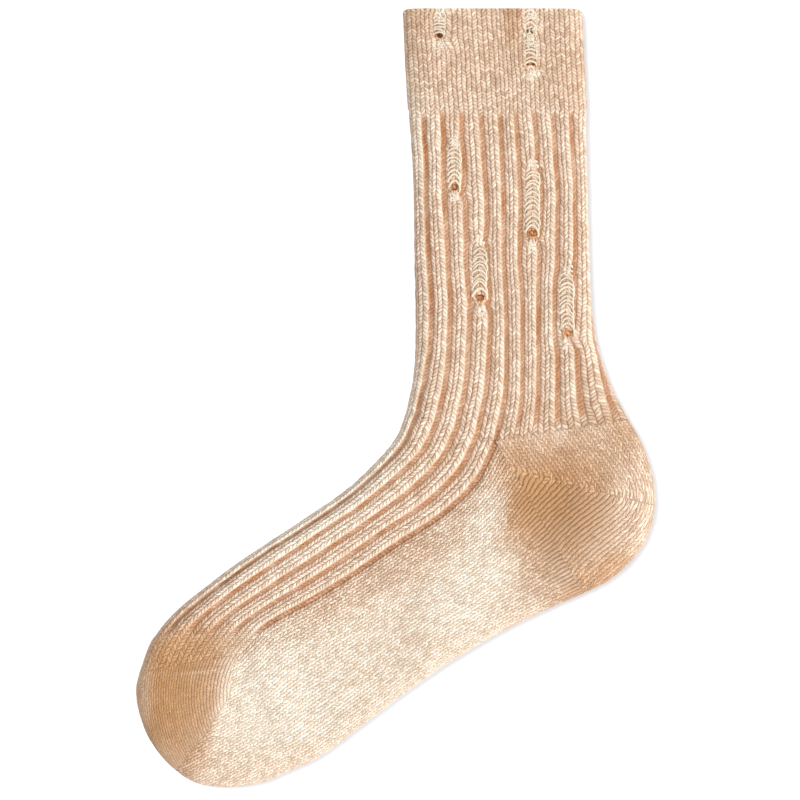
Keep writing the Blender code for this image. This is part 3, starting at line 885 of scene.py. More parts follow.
def instep_strays(base, back):
    """The strays of the instep's channels: they leave the leg's and draw to the front edge."""
    part = ease(np.linspace(0, 1, len(base)), 0.0, INSTEP_DRAWN)
    ankle = leg_strays(base[:1], back)
    held = -np.array(INSTEP_STRAYS[::-1] + (0.0,))
    return [blend(first[0], last, part) for first, last in zip(ankle, held)]


def rib_coordinate(arm, base, upper, strays):
    """Ribs counted from the front edge over the upper side and on round the under side."""
    length = np.linalg.norm(np.diff(base, axis=1), axis=2).sum(axis=1)
    middle = base[:, base.shape[1] // 2]
    places = [np.zeros(len(length))]
    along = middle[:, 1] / RIB_WANDER.along + middle[:, 0] / RIB_WANDER.across
    for count, shift in enumerate(strays(base, arm.back), 1):
        wander = RIB_WANDER.amount * soft_noise(along, np.full(len(length), WANDER_APART * count),
                                                RIB_WANDER.seed)
        wander = wander * (count < RIBS_PER_ARM)
        places.append(count / RIBS_PER_ARM + (shift + wander) / length)
    outer = sum(np.clip((arm.fraction - low[:, None]) / (high - low)[:, None], 0, 1)
                for low, high in zip(places, places[1:]))
    beyond = np.maximum(arm.fraction - places[-1][:, None], 0)
    outer = outer + beyond / (places[-1] - places[-2])[:, None]
    if not upper:
        last = outer[:, -1:]
        outer = last + (2 * RIBS_PER_ARM - last) * (1 - arm.fraction)
    return RIBS_PER_ARM + (1 if arm.back else -1) * outer


# ---------------------------------------------------------------------------
# The knitting of each section
# ---------------------------------------------------------------------------

RIB_START = (120.5, 1.5)        # height where the leg's ribs begin, and how unevenly
RIB_RISE = (-2, 3)              # heights about that between which they rise
RIB_APART = 5.3                 # steps in the noise from one rib's unevenness to the next
HEEL_RIBS = (5.1, 14.9)         # the ribs between these run down to the heel
HEEL_RIB_END = (1.0, 7.0)       # heights above the heel in which they fade
HEEL_RIB_TIPS = 2.4             # how far their crests reach down over the heel
INSTEP_FADE = (-101.5, -95.0)   # heights in which the instep's ribs fade before the toe
HUSH = 0.8                      # how far the stitches of a channel sink out of sight
CHANNEL_HUSH = (0.6, 0.98)      # depths in which they do, between the ribs
EDGE_HUSH = (0.6, 1.0)          # and in the half channel beside the instep
EDGE_FLANK = (0.6, 2.5)         # its depth at its end, and the end of its flank, in its widths
EDGE_STITCHES = (0.05, 0.35)    # part of the sole's arm in which the stitches beside it fade
CUFF_GROOVE = (0.32, 6)         # painted shade in the groove between the cuff's columns: how dark it is, and the power that keeps it narrow
                                # power that keeps it narrow
CUFF_HIGHLIGHT = (0.6, 0.84, 0.10)  # amount, middle and half width of the painted highlight across a column
SOLE_NEAR_HEEL = (-11, -2)      # distances before the heel in which the sole's stitches close


def ankle_line(x):
    """Height of the line where the heel begins."""
    return ANKLE.side[1] + (x - ANKLE.side[0]) * (ANKLE.back[1] - ANKLE.side[1]) \
        / (ANKLE.back[0] - ANKLE.side[0])


def leg_amount(base, rib):
    """Ribs start unevenly below the cuff, and those over the heel end before it."""
    x, y = base[..., 0], base[..., 1]
    height, uneven = RIB_START
    start = height - uneven * (1 + soft_noise(np.floor(rib + 0.5) * RIB_APART,
                                              np.full(rib.shape, 0.5), 9))
    begun = 1 - ease(y, *(start + rise for rise in RIB_RISE))
    first, last = HEEL_RIBS
    over_heel = ((rib > first) & (rib < last)).astype(float)
    ended = 1 - over_heel * (1 - ease(y - ankle_line(x), *HEEL_RIB_END))
    return begun * ended


def foot_amount(base):
    """The instep's ribs run the whole way and fade out before the toe seam."""
    return ease(base[..., 1], *INSTEP_FADE)


def ribbed_knit(base, rib, strength, before, quiet=1.0, matted=0.0):
    """Knitting with ribs of some strength, after a length of cloth that is knitted before.

    quiet is how strong its stitches are, apart from those deep in a channel, and matted how
    smooth they are at least.
    """
    x, y = base[..., 0], base[..., 1]
    arms = rib_arm(rib, strength)
    # The rib's section gives the channel's colour with painted shade, and the painted highlight.
    depth, dark, shine, smooth = (rib_section(rib, column) * strength
                                  for column in ("depth", "dark", "shine", "smooth"))
    made = plain_knit(arms, before + course_lengths(base, arms),
                      dark=dark * wandered(1, CHANNEL_WANDERS, x, y),
                      strength=(1 - HUSH * ease(depth, *CHANNEL_HUSH)) * quiet,
                      smooth=np.maximum(smooth, matted))
    return made._replace(depth=bpy.context.scene.sock_knit.rib_depth * depth, shine=shine)


def cuff_field(arm, base, upper):
    """Fine columns of V stitches all round the cuff."""
    arms = rib_arm(rib_coordinate(arm, base, upper, cuff_strays), 0.0)
    (dark, narrow), (amount, middle, width) = CUFF_GROOVE, CUFF_HIGHLIGHT
    # Painted shade in each groove, painted highlight across each column.
    plain = plain_knit(arms, CUFF_COURSES * course_lengths(base, arms), strength=0.8,
                       dark=dark * np.abs(arms % 2 - 1) ** narrow)
    return plain._replace(shine=amount * np.exp(-((arms % 2 / 2 - middle) / width) ** 2))


def leg_field(arm, base, upper):
    """The leg's ribs, which end in points over the heel's knitting."""
    x, y = base[..., 0], base[..., 1]
    rib = rib_coordinate(arm, base, upper, leg_strays)
    made = ribbed_knit(base, rib, leg_amount(base, rib),
                       CUFF_COURSES * knitted_before(CUFF, arm.back))
    if arm.back:
        above = y - ankle_line(x) + HEEL_RIB_TIPS * (1 - rib_section(rib, "depth"))
        in_heel = above < wandered(1.0, HEEL_WANDERS, x, y)
        made = Knit(*(np.where(in_heel, new, old)
                      for old, new in zip(made, heel_knit(*rolled_out(base)))))
    return made


def instep_field(arm, base, upper):
    """The leg's front ribs run on over the instep."""
    strength = foot_amount(base)
    before = CUFF_COURSES * knitted_before(CUFF, False) + knitted_before(LEG, False)
    return ribbed_knit(base, rib_coordinate(arm, base, upper, instep_strays), strength,
                       before, 0.4 + 0.6 * strength, 0.55 * (1 - strength))


def sole_field(arm, base, upper):
    """Plain wales side by side, after the half channel that borders the instep."""
    fraction = arm.fraction
    part = (fraction - SOLE_EDGE) / (1 - SOLE_EDGE)
    arms = np.where(part > 0, SOLE_ARM + part * 2 * SOLE_WALES,
                    SOLE_ARM - 0.5 + 0.5 * fraction / SOLE_EDGE)
    if not upper:
        arms = 2 * (SOLE_ARM + 2 * SOLE_WALES) - arms
    beside = 1 - ease(fraction, *EDGE_STITCHES)
    near_heel = ease(past_heel_line(base[..., 0], base[..., 1]), *SOLE_NEAR_HEEL)
    low, end = EDGE_FLANK
    depth = np.interp(fraction, [0, SOLE_EDGE, end * SOLE_EDGE], [1, low, 0]) * foot_amount(base)
    # The half channel beside the instep takes the channel's colour as painted shade in its recess.
    plain = plain_knit(arms, course_lengths(base, arms), lean=SOLE_LEAN,
                       smooth=0.15 * (1 - beside), dark=ease(depth, 0.0, 0.8),
                       band=0.8 * near_heel * ease(fraction, 0.2, 0.4),
                       strength=(0.75 + 0.6 * beside) * (1 - HUSH * ease(depth, *EDGE_HUSH)))
    return plain._replace(depth=bpy.context.scene.sock_knit.rib_depth * depth)


def heel_field(arm, base, upper):
    """The heel's knitting, the same on both sides."""
    return heel_knit(*rolled_out(base))


def toe_field(arm, base, upper):
    """The toe's knitting, the same on both sides."""
    return toe_knit(*rolled_out(base))


# ---------------------------------------------------------------------------
# Ladders in the cloth, and the sections' pieces
# ---------------------------------------------------------------------------

LADDER_ABOVE = 2.0          # how far above its first rung a ladder begins
LADDER_TOP = (3.0, 0.6)     # how far down it widens, and the part of its width it begins with
HOLE_END = (0.35, 1.5)      # part of its width that a hole ends with, and how far above the
                            # hole the side lines draw in to it
SLOT_FADE = 7.0             # how far beyond its ends its side lines still push the cloth
SLOT_DRIFT = (0.5, 4.0)     # how far a ladder leans with its arm: share and limit
SLOT_PUSH = (6.0, 3.0)      # how far beside it the cloth is shifted, and spread
HOLE_BOW = (0.9, 1.3)       # how far the rows at a hole's ends bow, and how far from them
WEB_DARK = 0.24             # how much of the channel's colour the sunk, matted cloth takes, as painted shade under the rungs
WEB_ROWS = 6                # rows in which the cloth sinks at a ladder's top
WEB_HUSH = 0.9              # how far the stitches there sink out of sight

# Where a ladder lies in an arm's grid: its rows from the top to its hole and to its end, and
# its columns.
Slot = namedtuple("Slot", "top hole_top bottom left right ladder")


def half_width(ladder, y):
    """Half the distance between a ladder's side lines at a height, down to its hole's end."""
    hole = ladder.hole
    (widening, first), (last, above) = LADDER_TOP, HOLE_END
    start = np.sqrt(1 - (1 - np.clip((ladder.first + LADDER_ABOVE - y) / widening, 0, 1)) ** 2)
    end = np.sqrt(1 - np.clip((hole.y - y) / hole.size, 0, 1) ** 2)
    return blend(hole.size * (last + (1 - last) * end),
                 ladder.width / 2 * (first + (1 - first) * start),
                 ease(y, hole.y, hole.y + hole.size + above))


def place_slot(base, slot):
    """Move the columns beside a ladder so that the outer ones of its own meet its side lines,
    and bow the rows above and below its hole."""
    x, y = base[..., 0].copy(), base[..., 1]
    rows = (slot.top + slot.bottom) // 2
    start, end = y[slot.top, slot.left], y[slot.bottom, slot.left]
    middle, half = (start + end) / 2, abs(start - end) / 2
    inside = 1 - ease(np.abs(y - middle), half, half + SLOT_FADE)
    first, last = x[:, slot.left:slot.left + 1], x[:, slot.right:slot.right + 1]
    low, high = np.minimum(first, last), np.maximum(first, last)
    share, limit = SLOT_DRIFT
    drift = share * np.clip((low + high) / 2 - (low + high)[rows] / 2, -limit, limit)
    shift = slot.ladder.across + drift - (low + high) / 2
    widen = half_width(slot.ladder, y) - (high - low) / 2
    away = np.maximum(np.maximum(low - x, x - high), 0)
    part = np.clip(2 * (x - low) / (high - low) - 1, -1, 1)
    shifted, widened = SLOT_PUSH
    base[..., 0] = x + inside * (shift * np.exp(-(away / shifted) ** 2)
                                 + widen * part * np.exp(-(away / widened) ** 2))
    over = y - y[slot.hole_top, slot.left]
    under = y - y[slot.bottom, slot.left]
    bow, reach = HOLE_BOW
    base[..., 1] += bow * (1 - part ** 2) * (np.exp(-(over / reach) ** 2)
                                             - np.exp(-(under / reach) ** 2))


def slot_for(ladder, arm):
    """The rows and columns of an arm that a ladder takes, in whole coarse steps."""
    def coarse(step):
        return int(round(step / INNER)) * INNER

    base = arm_surface(arm, True)
    hole = ladder.hole
    middle = arm.fraction.shape[1] // 2
    row = int(np.argmin(np.abs(base[:, middle, 1] - (ladder.first + hole.y) / 2)))
    place = int(np.argmin(np.abs(base[row, :, 0] - ladder.across)))
    pitch = abs(base[row, place, 0] - base[row, place - 1, 0])
    wide = max(INNER, coarse(ladder.width / pitch))
    left = coarse(place - wide / 2)
    top, hole_top, bottom = (coarse(np.argmin(np.abs(base[:, place, 1] - y)))
                             for y in (ladder.first + LADDER_ABOVE, hole.y + 0.5 * hole.size,
                                       hole.y - 0.5 * hole.size))
    return Slot(top, min(hole_top, bottom - INNER), bottom, left, left + wide, ladder)


def near_hole(x, y, beyond, across=0.0):
    """1 at the middle of a hole, falling to 1/e at a distance beyond its edge, and further
    across the sock."""
    near = np.zeros(np.shape(x))
    for hole in (ladder.hole for ladder in LADDERS):
        reach = hole.size + beyond
        near = np.maximum(near, np.exp(-((x - hole.x) / (reach + across)) ** 2
                                       - ((y - hole.y) / reach) ** 2))
    return near


def sink_web(made, slots):
    """Sink and mat the knitting between the side lines of an arm's ladders, with painted shade in
    its colour.
    """
    rows, columns = np.indices(made.arms.shape)
    sunk = np.zeros(made.arms.shape)
    for slot in slots:
        inside = (columns > slot.left) & (columns < slot.right) & (rows < slot.bottom)
        sunk = np.maximum(sunk, inside * ease(rows, slot.top, slot.top + WEB_ROWS))
    return made._replace(depth=blend(made.depth, WEB_DEPTH, sunk),
                         dark=blend(made.dark, WEB_DARK, sunk), shine=made.shine * (1 - sunk),
                         strength=made.strength * (1 - WEB_HUSH * sunk))


def tube_piece(section, rounds, field):
    """A section knitted all round: its front arm and back arm joined along the side line."""
    name = "knit_" + section
    mesh = Mesh()
    for arm in tube_arms(rounds, GRIDS[name]):
        slots = [slot_for(ladder, arm) for ladder in LADDERS
                 if ladder.section == section
                 and (ladder.across > arm.side[0, 0] + 1) == arm.back]
        strip = knit_strip(arm, field, slots, section == "cuff")
        strip_cloth(mesh, strip, not arm.back, slots=slots)
    return mesh_object(name, mesh, knit_materials("cream"), MERGE_TUBE)


def pocket_piece(name, arm, field):
    """A turned section, one arm whose rows meet in the corner of a round."""
    strip = knit_strip(arm, field)
    for grid in ("upper", "under", "inner_upper", "inner_under"):
        strip[grid][:, 0] = strip[grid][:, 0].mean(axis=0)
    mesh = Mesh()
    strip_cloth(mesh, strip, not arm.back)
    return mesh_object(name, mesh, knit_materials("tan"), MERGE_ARM)


def half_piece(name, arm, field):
    """The instep or the sole, one arm of the foot's tube with its thickness closed all round."""
    mesh = Mesh()
    strip_cloth(mesh, knit_strip(arm, field), not arm.back, True)
    return mesh_object(name, mesh, knit_materials("cream"), MERGE_ARM)


# ---------------------------------------------------------------------------
# Loose yarn: rungs and loops
# ---------------------------------------------------------------------------

YARN_SIDES = 6
YARN_POINTS = 23            # along each rung and loop
ARCH_POINTS = 41            # along a rung's arch and a loop before they are evened out
LOOP_POINTS = 31

ARCH_TOP = -0.15            # where a rung is fullest, from -1 on its left to 1 on its right
ARCH_FALLS = (1.4, 2.4)     # powers by which it falls away, straight on its left, round right
LEFT_END = [[-0.3, -1.1, -1.1], [-0.2, -0.5, -0.3]]     # steps from the arch into the cloth
RIGHT_END = [[0.1, -0.6, 0.0], [0.1, -1.5, -0.2], [0.0, -2.3, -1.1]]
RUNG_SEAT, LOOP_SEAT = 0.4, 0.3     # how far the yarn's feet lie below the surface
LOOP_DIP = 1.2                      # how far a loop's ends go down into the cloth
RUNG_TINT, LOOP_TINT = (0.98, 0.95, 0.89), (1.0, 0.98, 0.95)

# Ranges of chance.  Rungs: shares of the ladder's pitch, of half its width, of the sag and of
# the yarn's radius and tone, slope, height over the slot and sideways shift.  Loops: place
# across the ladder, half width, height, height over the cloth, radius and tone.
RUNG_CHANCES = dict(pitch=(0.85, 1.15), half=(0.94, 1.10), sag=(0.8, 1.2), tilt=(-0.28, 0.10),
                    lift=(0.0, 0.4), shift=(-0.2, 0.2), radius=(0.75, 1.15), tint=(0.88, 1.05))
LOOP_CHANCES = dict(across=(-1.5, 1.5), width=(0.5, 1.2), height=(0.5, 1.3), lift=(0.0, 0.2),
                    radius=(0.55, 0.8), tint=(0.95, 1.05))
LOOPS_PER_END = 12
LOOPS_ABOVE = (4.5, 0.5)    # heights over a ladder's first rung between which loops lie
LOOPS_BELOW = (0.5, 5.0)    # depths below its hole between which others lie
LOOP_TURN = 0.6             # usual turn of a loop, in radians
LOOP_TOP = 161.5            # no loop lies above this height
PITCH_DOWN = (0.85, 0.35)   # share of its pitch at a ladder's top, and what it gains down it
SAG_DOWN = (0.8, 0.4)       # the same for the sag of its rungs
NARROW = 2.4                # half width below which rungs sag less
LAST_RUNG = (0.5, 0.3, 0.2)     # what the lowest rung has more: half width, sag, thickness
YARN_END = (0.55, 2.2)      # share of its radius that a yarn ends with, and how fast it thickens
YARN_ARC = (0.02, np.pi - 0.02)     # by the sine of an angle that goes from one to the other


def yarn_piece(name, paths, radii, tints, material):
    """One object of many yarns: paths is (yarns, points, 3) in mm, radii (yarns, points), and
    tints (yarns, 3) their share of the yarn's colour.  Each yarn is a tube with closed ends."""
    paths = np.asarray(paths, float)
    count, points = paths.shape[:2]
    tangent = np.gradient(paths, axis=1)
    tangent /= np.linalg.norm(tangent, axis=2, keepdims=True)
    side = np.cross(tangent, [0.13, 0.09, 1.0])
    side /= np.linalg.norm(side, axis=2, keepdims=True)
    over = np.cross(side, tangent)
    angle = np.arange(YARN_SIDES) * 2 * np.pi / YARN_SIDES
    ring = (side[:, :, None] * np.cos(angle)[:, None] + over[:, :, None] * np.sin(angle)[:, None])
    verts = (paths[:, :, None] + ring * np.asarray(radii)[:, :, None, None]).reshape(-1, 3)
    number = np.arange(count * points * YARN_SIDES).reshape(count, points, YARN_SIDES)
    beside = np.roll(number, -1, axis=2)
    walls = np.stack([number[:, :-1], beside[:, :-1], beside[:, 1:], number[:, 1:]], axis=-1)
    caps = np.concatenate([number[:, 0, ::-1], number[:, -1]])
    around = np.empty((count, points, YARN_SIDES, 3))
    around[..., 0], around[..., 1] = np.cos(angle), np.sin(angle)
    around[..., 2] = added_up(np.linalg.norm(np.diff(paths, axis=1), axis=2))[..., None]
    tint = np.broadcast_to(np.asarray(tints)[:, None, None], around.shape)
    data = new_mesh(name, verts, [(walls.reshape(-1, 4), 0), (caps, 0)], [material],
                    [("around", "FLOAT_VECTOR", "vector", around),
                     ("tint", "FLOAT_COLOR", "color", opaque(tint))])
    data.shade_smooth()
    return in_scene(name, data)


def surface_height(section, x, y):
    """Height of the laid sock's upper side at a point away from its edges."""
    arm = tube_arms(CUFF if section == "cuff" else LEG, (100, 1))[0]
    return np.interp(-y, -arm.side[:, 1], arm.height) + fold_height(x, y)


def evened(points):
    """The same bent line with a yarn's number of points, at even distances."""
    along = added_up(np.linalg.norm(np.diff(points, axis=0), axis=1))
    wanted = np.linspace(0, along[-1], YARN_POINTS)
    return np.stack([np.interp(wanted, along, column) for column in points.T], axis=1)


def rung_path(ladder, y, half, sag, tilt, lift):
    """One rung of a ladder: it leaves the cloth beside the slot, arches over it and goes in
    again.

    The arch is fullest left of its middle, straight on its left and round on its right, where
    it runs on down the side line; both ends dip below the cloth.
    """
    across = np.linspace(-1, 1, ARCH_POINTS)
    left = across < ARCH_TOP
    from_top = (across - ARCH_TOP) / np.where(left, 1 + ARCH_TOP, 1 - ARCH_TOP)
    fall = np.abs(from_top) ** np.where(left, *ARCH_FALLS)
    arch = np.stack([half * across, sag * (1 - fall) + tilt * half * across,
                     lift * (1 - across ** 2)], axis=1)
    path = evened(np.vstack([arch[0] + LEFT_END, arch, arch[-1] + RIGHT_END]))
    base = surface_height(ladder.section, ladder.across, y)
    return path + np.array([ladder.across, y, base - RUNG_SEAT])


def loop_path(x, y, z, width, height, turn, lift):
    """A loose loop of yarn that comes out of the cloth and goes back into it."""
    angle = np.linspace(0, np.pi, LOOP_POINTS)
    along, out = width * np.cos(angle), height * np.sin(angle)
    rise = lift * np.sin(angle) - LOOP_DIP * (1 - np.sin(angle)) ** 2
    return evened(np.stack([x + along * np.cos(turn) - out * np.sin(turn),
                            y + along * np.sin(turn) + out * np.cos(turn), z + rise], axis=1))


def ladder_yarns(ladder, chance):
    """The rungs of a ladder, and the loops bunched above its first rung and below its hole."""
    def draw(ranges, name):
        return chance.uniform(*ranges[name])

    paths, radii, tints = [], [], []
    radius = bpy.context.scene.sock_knit.rung
    (thin, thickening), (wider, fuller, thicker) = YARN_END, LAST_RUNG
    taper = np.minimum(1, thin + thickening * np.sin(np.linspace(*YARN_ARC, YARN_POINTS)))
    (pitch, pitch_gain), (slack, slack_gain) = PITCH_DOWN, SAG_DOWN
    y = ladder.first
    while y > ladder.last:
        down = (ladder.first - y) / (ladder.first - ladder.last)
        y -= ladder.pitch * (pitch + pitch_gain * down) * draw(RUNG_CHANCES, "pitch")
        lowest = y <= ladder.last
        half = half_width(ladder, y) * draw(RUNG_CHANCES, "half") + wider * lowest
        sag = ladder.sag * (slack + slack_gain * down) * draw(RUNG_CHANCES, "sag") \
            * min(1, half / NARROW)
        path = rung_path(ladder, y, half, sag + fuller * lowest, draw(RUNG_CHANCES, "tilt"),
                         draw(RUNG_CHANCES, "lift"))
        path[:, 0] += draw(RUNG_CHANCES, "shift")
        paths.append(path)
        radii.append(radius * draw(RUNG_CHANCES, "radius") * taper * (1 + thicker * lowest))
        tints.append(np.array(RUNG_TINT) * draw(RUNG_CHANCES, "tint"))
    (over, above), (near, far) = LOOPS_ABOVE, LOOPS_BELOW
    top, bottom = min(ladder.first + over, LOOP_TOP), ladder.hole.y - ladder.hole.size
    ends = ((top - (over - above), top, 0.0), (bottom - far, bottom - near, np.pi))
    for low, high, turn in ends:
        for _ in range(LOOPS_PER_END):
            x = ladder.across + draw(LOOP_CHANCES, "across")
            y = chance.uniform(low, high)
            turned_by = chance.normal(0, LOOP_TURN) + turn
            base = surface_height(ladder.section, ladder.across, y)
            paths.append(loop_path(x, y, base - LOOP_SEAT, draw(LOOP_CHANCES, "width"),
                                   draw(LOOP_CHANCES, "height"), turned_by,
                                   draw(LOOP_CHANCES, "lift")))
            radii.append(radius * draw(LOOP_CHANCES, "radius") * taper)
            tints.append(np.array(LOOP_TINT) * draw(LOOP_CHANCES, "tint"))
    return paths, radii, tints


# ---------------------------------------------------------------------------
# Materials
# ---------------------------------------------------------------------------

WHITE = (1.0, 1.0, 1.0, 1.0)
RUBBED = (0.95, 0.93, 0.90, 1.0)    # share left between strands that have rubbed smooth
STRANDS = (0.80, 0.71, 0.62, 1.0), (1.16, 1.18, 1.20, 1.0)  # dullest and palest strand
MATTED = (0.98, 0.95, 0.92, 1.0)    # every strand, where they have closed up
GRAIN = (0.50, 0.42, 0.35, 1.0), (1.50, 1.58, 1.65, 1.0)    # between the fibres, and on them
FUZZ_SCALE = 1900.0                 # fibres in a metre
TWIST = 2.6                         # turn of the loose yarn's plies, in radians a millimetre
# painted shade in the groove round the loose yarn's twist
PLY_GROOVE = (0.80, 0.68, 0.54, 1.0)
SPECULAR = 0.15                     # of any yarn


class Nodes:
    """Short calls that add nodes to a node tree and join them."""

    def __init__(self, owner, shader):
        owner.use_nodes = True
        self.tree = owner.node_tree
        self.shader = self.tree.nodes[shader]

    def fill(self, node, inputs):
        """Put numbers, colours or other nodes' outputs into a node's inputs."""
        for key, value in inputs.items():
            if isinstance(value, bpy.types.NodeSocket):
                self.tree.links.new(value, node.inputs[key])
            else:
                node.inputs[key].default_value = value

    def add(self, kind, inputs=(), **settings):
        """A new node of a kind, with its settings and its inputs filled."""
        node = self.tree.nodes.new(kind)
        for key, value in settings.items():
            setattr(node, key, value)
        self.fill(node, dict(inputs))
        return node

    def math(self, operation, *values, clamp=False):
        """The result of a math node on numbers or outputs."""
        return self.add("ShaderNodeMath", enumerate(values), operation=operation,
                        use_clamp=clamp).outputs[0]

    def less(self, value):
        """1 less a value."""
        return self.math("SUBTRACT", 1.0, value)

    def cell(self, value):
        """The whole part of a value, and the rest counted from its middle."""
        whole = self.math("FLOOR", value)
        return whole, self.math("SUBTRACT", self.math("SUBTRACT", value, whole), 0.5)

    def mix(self, factor, first, second, blend_type="MIX"):
        """The result of a colour mix."""
        return self.add("ShaderNodeMix", {0: factor, 6: first, 7: second}, data_type="RGBA",
                        blend_type=blend_type).outputs[2]

    def tinted(self, colour, share):
        """A colour times another."""
        return self.mix(1.0, colour, share, "MULTIPLY")

    def attribute(self, name, output="Fac"):
        """A stored value of the mesh."""
        return self.add("ShaderNodeAttribute", attribute_name=name).outputs[output]

    def yarn(self, colour, relief, strength, depth, roughness, sheen):
        """Make the shader a fuzzy, matte yarn with a relief of some depth in metres."""
        bump = self.add("ShaderNodeBump", {"Height": relief, "Strength": strength,
                                           "Distance": depth})
        self.fill(self.shader, {"Base Color": colour, "Normal": bump.outputs[0],
                                "Roughness": roughness, "Specular IOR Level": SPECULAR,
                                "Sheen Weight": sheen})

    def straight_view(self):
        """1 for rays that show what they meet as it is: from the eye, a mirror or a glass."""
        path = self.add("ShaderNodeLightPath").outputs
        return self.math("MAXIMUM", path["Is Camera Ray"],
                         self.math("MAXIMUM", path["Is Glossy Ray"],
                                   path["Is Transmission Ray"]))


def strand_nodes(n):
    """The yarn's height in the stitches' own coordinates, by strand_relief's formula, a random
    number that is the same along one strand, and how far the strands have closed up."""
    place = n.add("ShaderNodeSeparateXYZ",
                  {0: n.add("ShaderNodeUVMap", uv_map="stitches").outputs[0]})
    arm, across = n.cell(place.outputs[0])
    odd = n.math("FLOORED_MODULO", arm, 2.0)
    side = n.math("SUBTRACT", n.math("MULTIPLY", odd, 2.0), 1.0)
    lean = n.math("MULTIPLY", side, n.attribute("lean"))
    strand, offset = n.cell(n.math("SUBTRACT", place.outputs[1],
                                   n.math("MULTIPLY", lean, across)))
    crest = n.less(n.math("MULTIPLY", 4.0, n.math("POWER", offset, 2.0)))
    border = n.less(n.math("MULTIPLY", 16.0, n.math("POWER", across, 4.0)))
    relief = n.math("MULTIPLY", n.math("SQRT", crest), border, clamp=True)
    closed = n.less(n.math("POWER", n.math("ABSOLUTE", n.math("MULTIPLY", 2.0, across)), 3.0))
    band = n.attribute("band")
    relief = n.math("ADD", n.math("MULTIPLY", relief, n.less(band)),
                    n.math("MULTIPLY", closed, band))
    number = n.add("ShaderNodeCombineXYZ", {0: arm, 1: strand}).outputs[0]
    chance = n.add("ShaderNodeTexWhiteNoise", {"Vector": number}, noise_dimensions="2D")
    return relief, chance.outputs["Value"], band


def knit_material(name, gap, purl=False):
    """Wool-blend knit: each strand pale on top with painted shade in the gaps, fuzzy and matte."""
    material = bpy.data.materials.new(name)
    n = Nodes(material, "Principled BSDF")
    relief, chance, band = strand_nodes(n)
    fuzz = n.add("ShaderNodeTexNoise", {"Vector": n.add("ShaderNodeTexCoord").outputs["Object"],
                                        "Scale": FUZZ_SCALE, "Detail": 2.0},
                 noise_dimensions="3D").outputs["Fac"]
    smooth = n.attribute("smooth")

    worn = n.math("MULTIPLY", relief, n.math("ADD", 0.72, n.math("MULTIPLY", fuzz, 0.6)),
                  clamp=True)
    shade = n.mix(n.math("POWER", worn, 0.75), (*gap, 1.0), WHITE)
    shade = n.mix(n.math("MULTIPLY", smooth, 0.75, clamp=True), shade, RUBBED)
    calm = n.math("MULTIPLY", n.less(band), n.less(n.math("MULTIPLY", smooth, 0.6)))
    colour = n.tinted(n.attribute("tint", "Color"), shade)
    colour = n.tinted(colour, n.mix(calm, MATTED, n.mix(chance, *STRANDS)))
    colour = n.tinted(colour, n.mix(fuzz, *GRAIN))
    if purl:
        colour = n.tinted(colour, (*bpy.context.scene.sock_colours.inside, 1.0))
    height = n.math("ADD", n.math("MULTIPLY", relief, 0.8), n.math("MULTIPLY", fuzz, 0.5))
    n.yarn(colour, height, strength=0.8, depth=0.0006, roughness=0.95, sheen=0.20)
    n.fill(n.shader, {"Sheen Roughness": 0.6})
    return material


def loose_material():
    """Two-ply yarn pulled out of the knitting: cream, with painted shade in the groove round the
    twist.
    """
    material = bpy.data.materials.new("loose_yarn")
    n = Nodes(material, "Principled BSDF")
    x, y, along = n.add("ShaderNodeSeparateXYZ", {0: n.attribute("around", "Vector")}).outputs
    turn = n.math("MULTIPLY", along, TWIST)
    twist = n.math("ADD", n.math("MULTIPLY", x, n.math("SINE", turn)),
                   n.math("MULTIPLY", y, n.math("COSINE", turn)))
    ply = n.math("POWER", n.math("ABSOLUTE", twist), 0.5)
    colour = n.tinted((*bpy.context.scene.sock_colours.bleached, 1.0),
                      n.mix(ply, PLY_GROOVE, WHITE))
    colour = n.tinted(colour, n.attribute("tint", "Color"))
    n.yarn(colour, ply, strength=0.6, depth=0.0003, roughness=0.9, sheen=0.25)
    return material


def knit_materials(kind):
    """The outside and the inside of the cloth in one of the two yarns, made once."""
    gap = getattr(bpy.context.scene.sock_colours, kind + "_gap")
    names = (kind + "_yarn", kind + "_yarn_inside")
    return [bpy.data.materials.get(name) or knit_material(name, gap, name.endswith("inside"))
            for name in names]


def floor_material():
    """A white surface that keeps the sock's shadow, lifted to white where nothing shades it."""
    material = bpy.data.materials.new("white_surface")
    n = Nodes(material, "Principled BSDF")
    n.fill(n.shader, {"Base Color": (0.78, 0.80, 0.83, 1.0), "Roughness": 1.0,
                      "Specular IOR Level": 0.0})
    lift = n.math("MULTIPLY", n.straight_view(), bpy.context.scene.sock_stage.floor_glow)
    glow = n.add("ShaderNodeEmission", {"Color": (0.97, 0.98, 1.0, 1.0), "Strength": lift})
    both = n.add("ShaderNodeAddShader", {0: n.shader.outputs[0], 1: glow.outputs[0]})
    n.fill(n.tree.nodes["Material Output"], {"Surface": both.outputs[0]})
    return material


# ---------------------------------------------------------------------------
# Settings
# ---------------------------------------------------------------------------

def colour_setting(name, description, default):
    """A colour that the user may change."""
    return FloatVectorProperty(name=name, description=description, default=default,
                               subtype="COLOR", min=0, max=1)


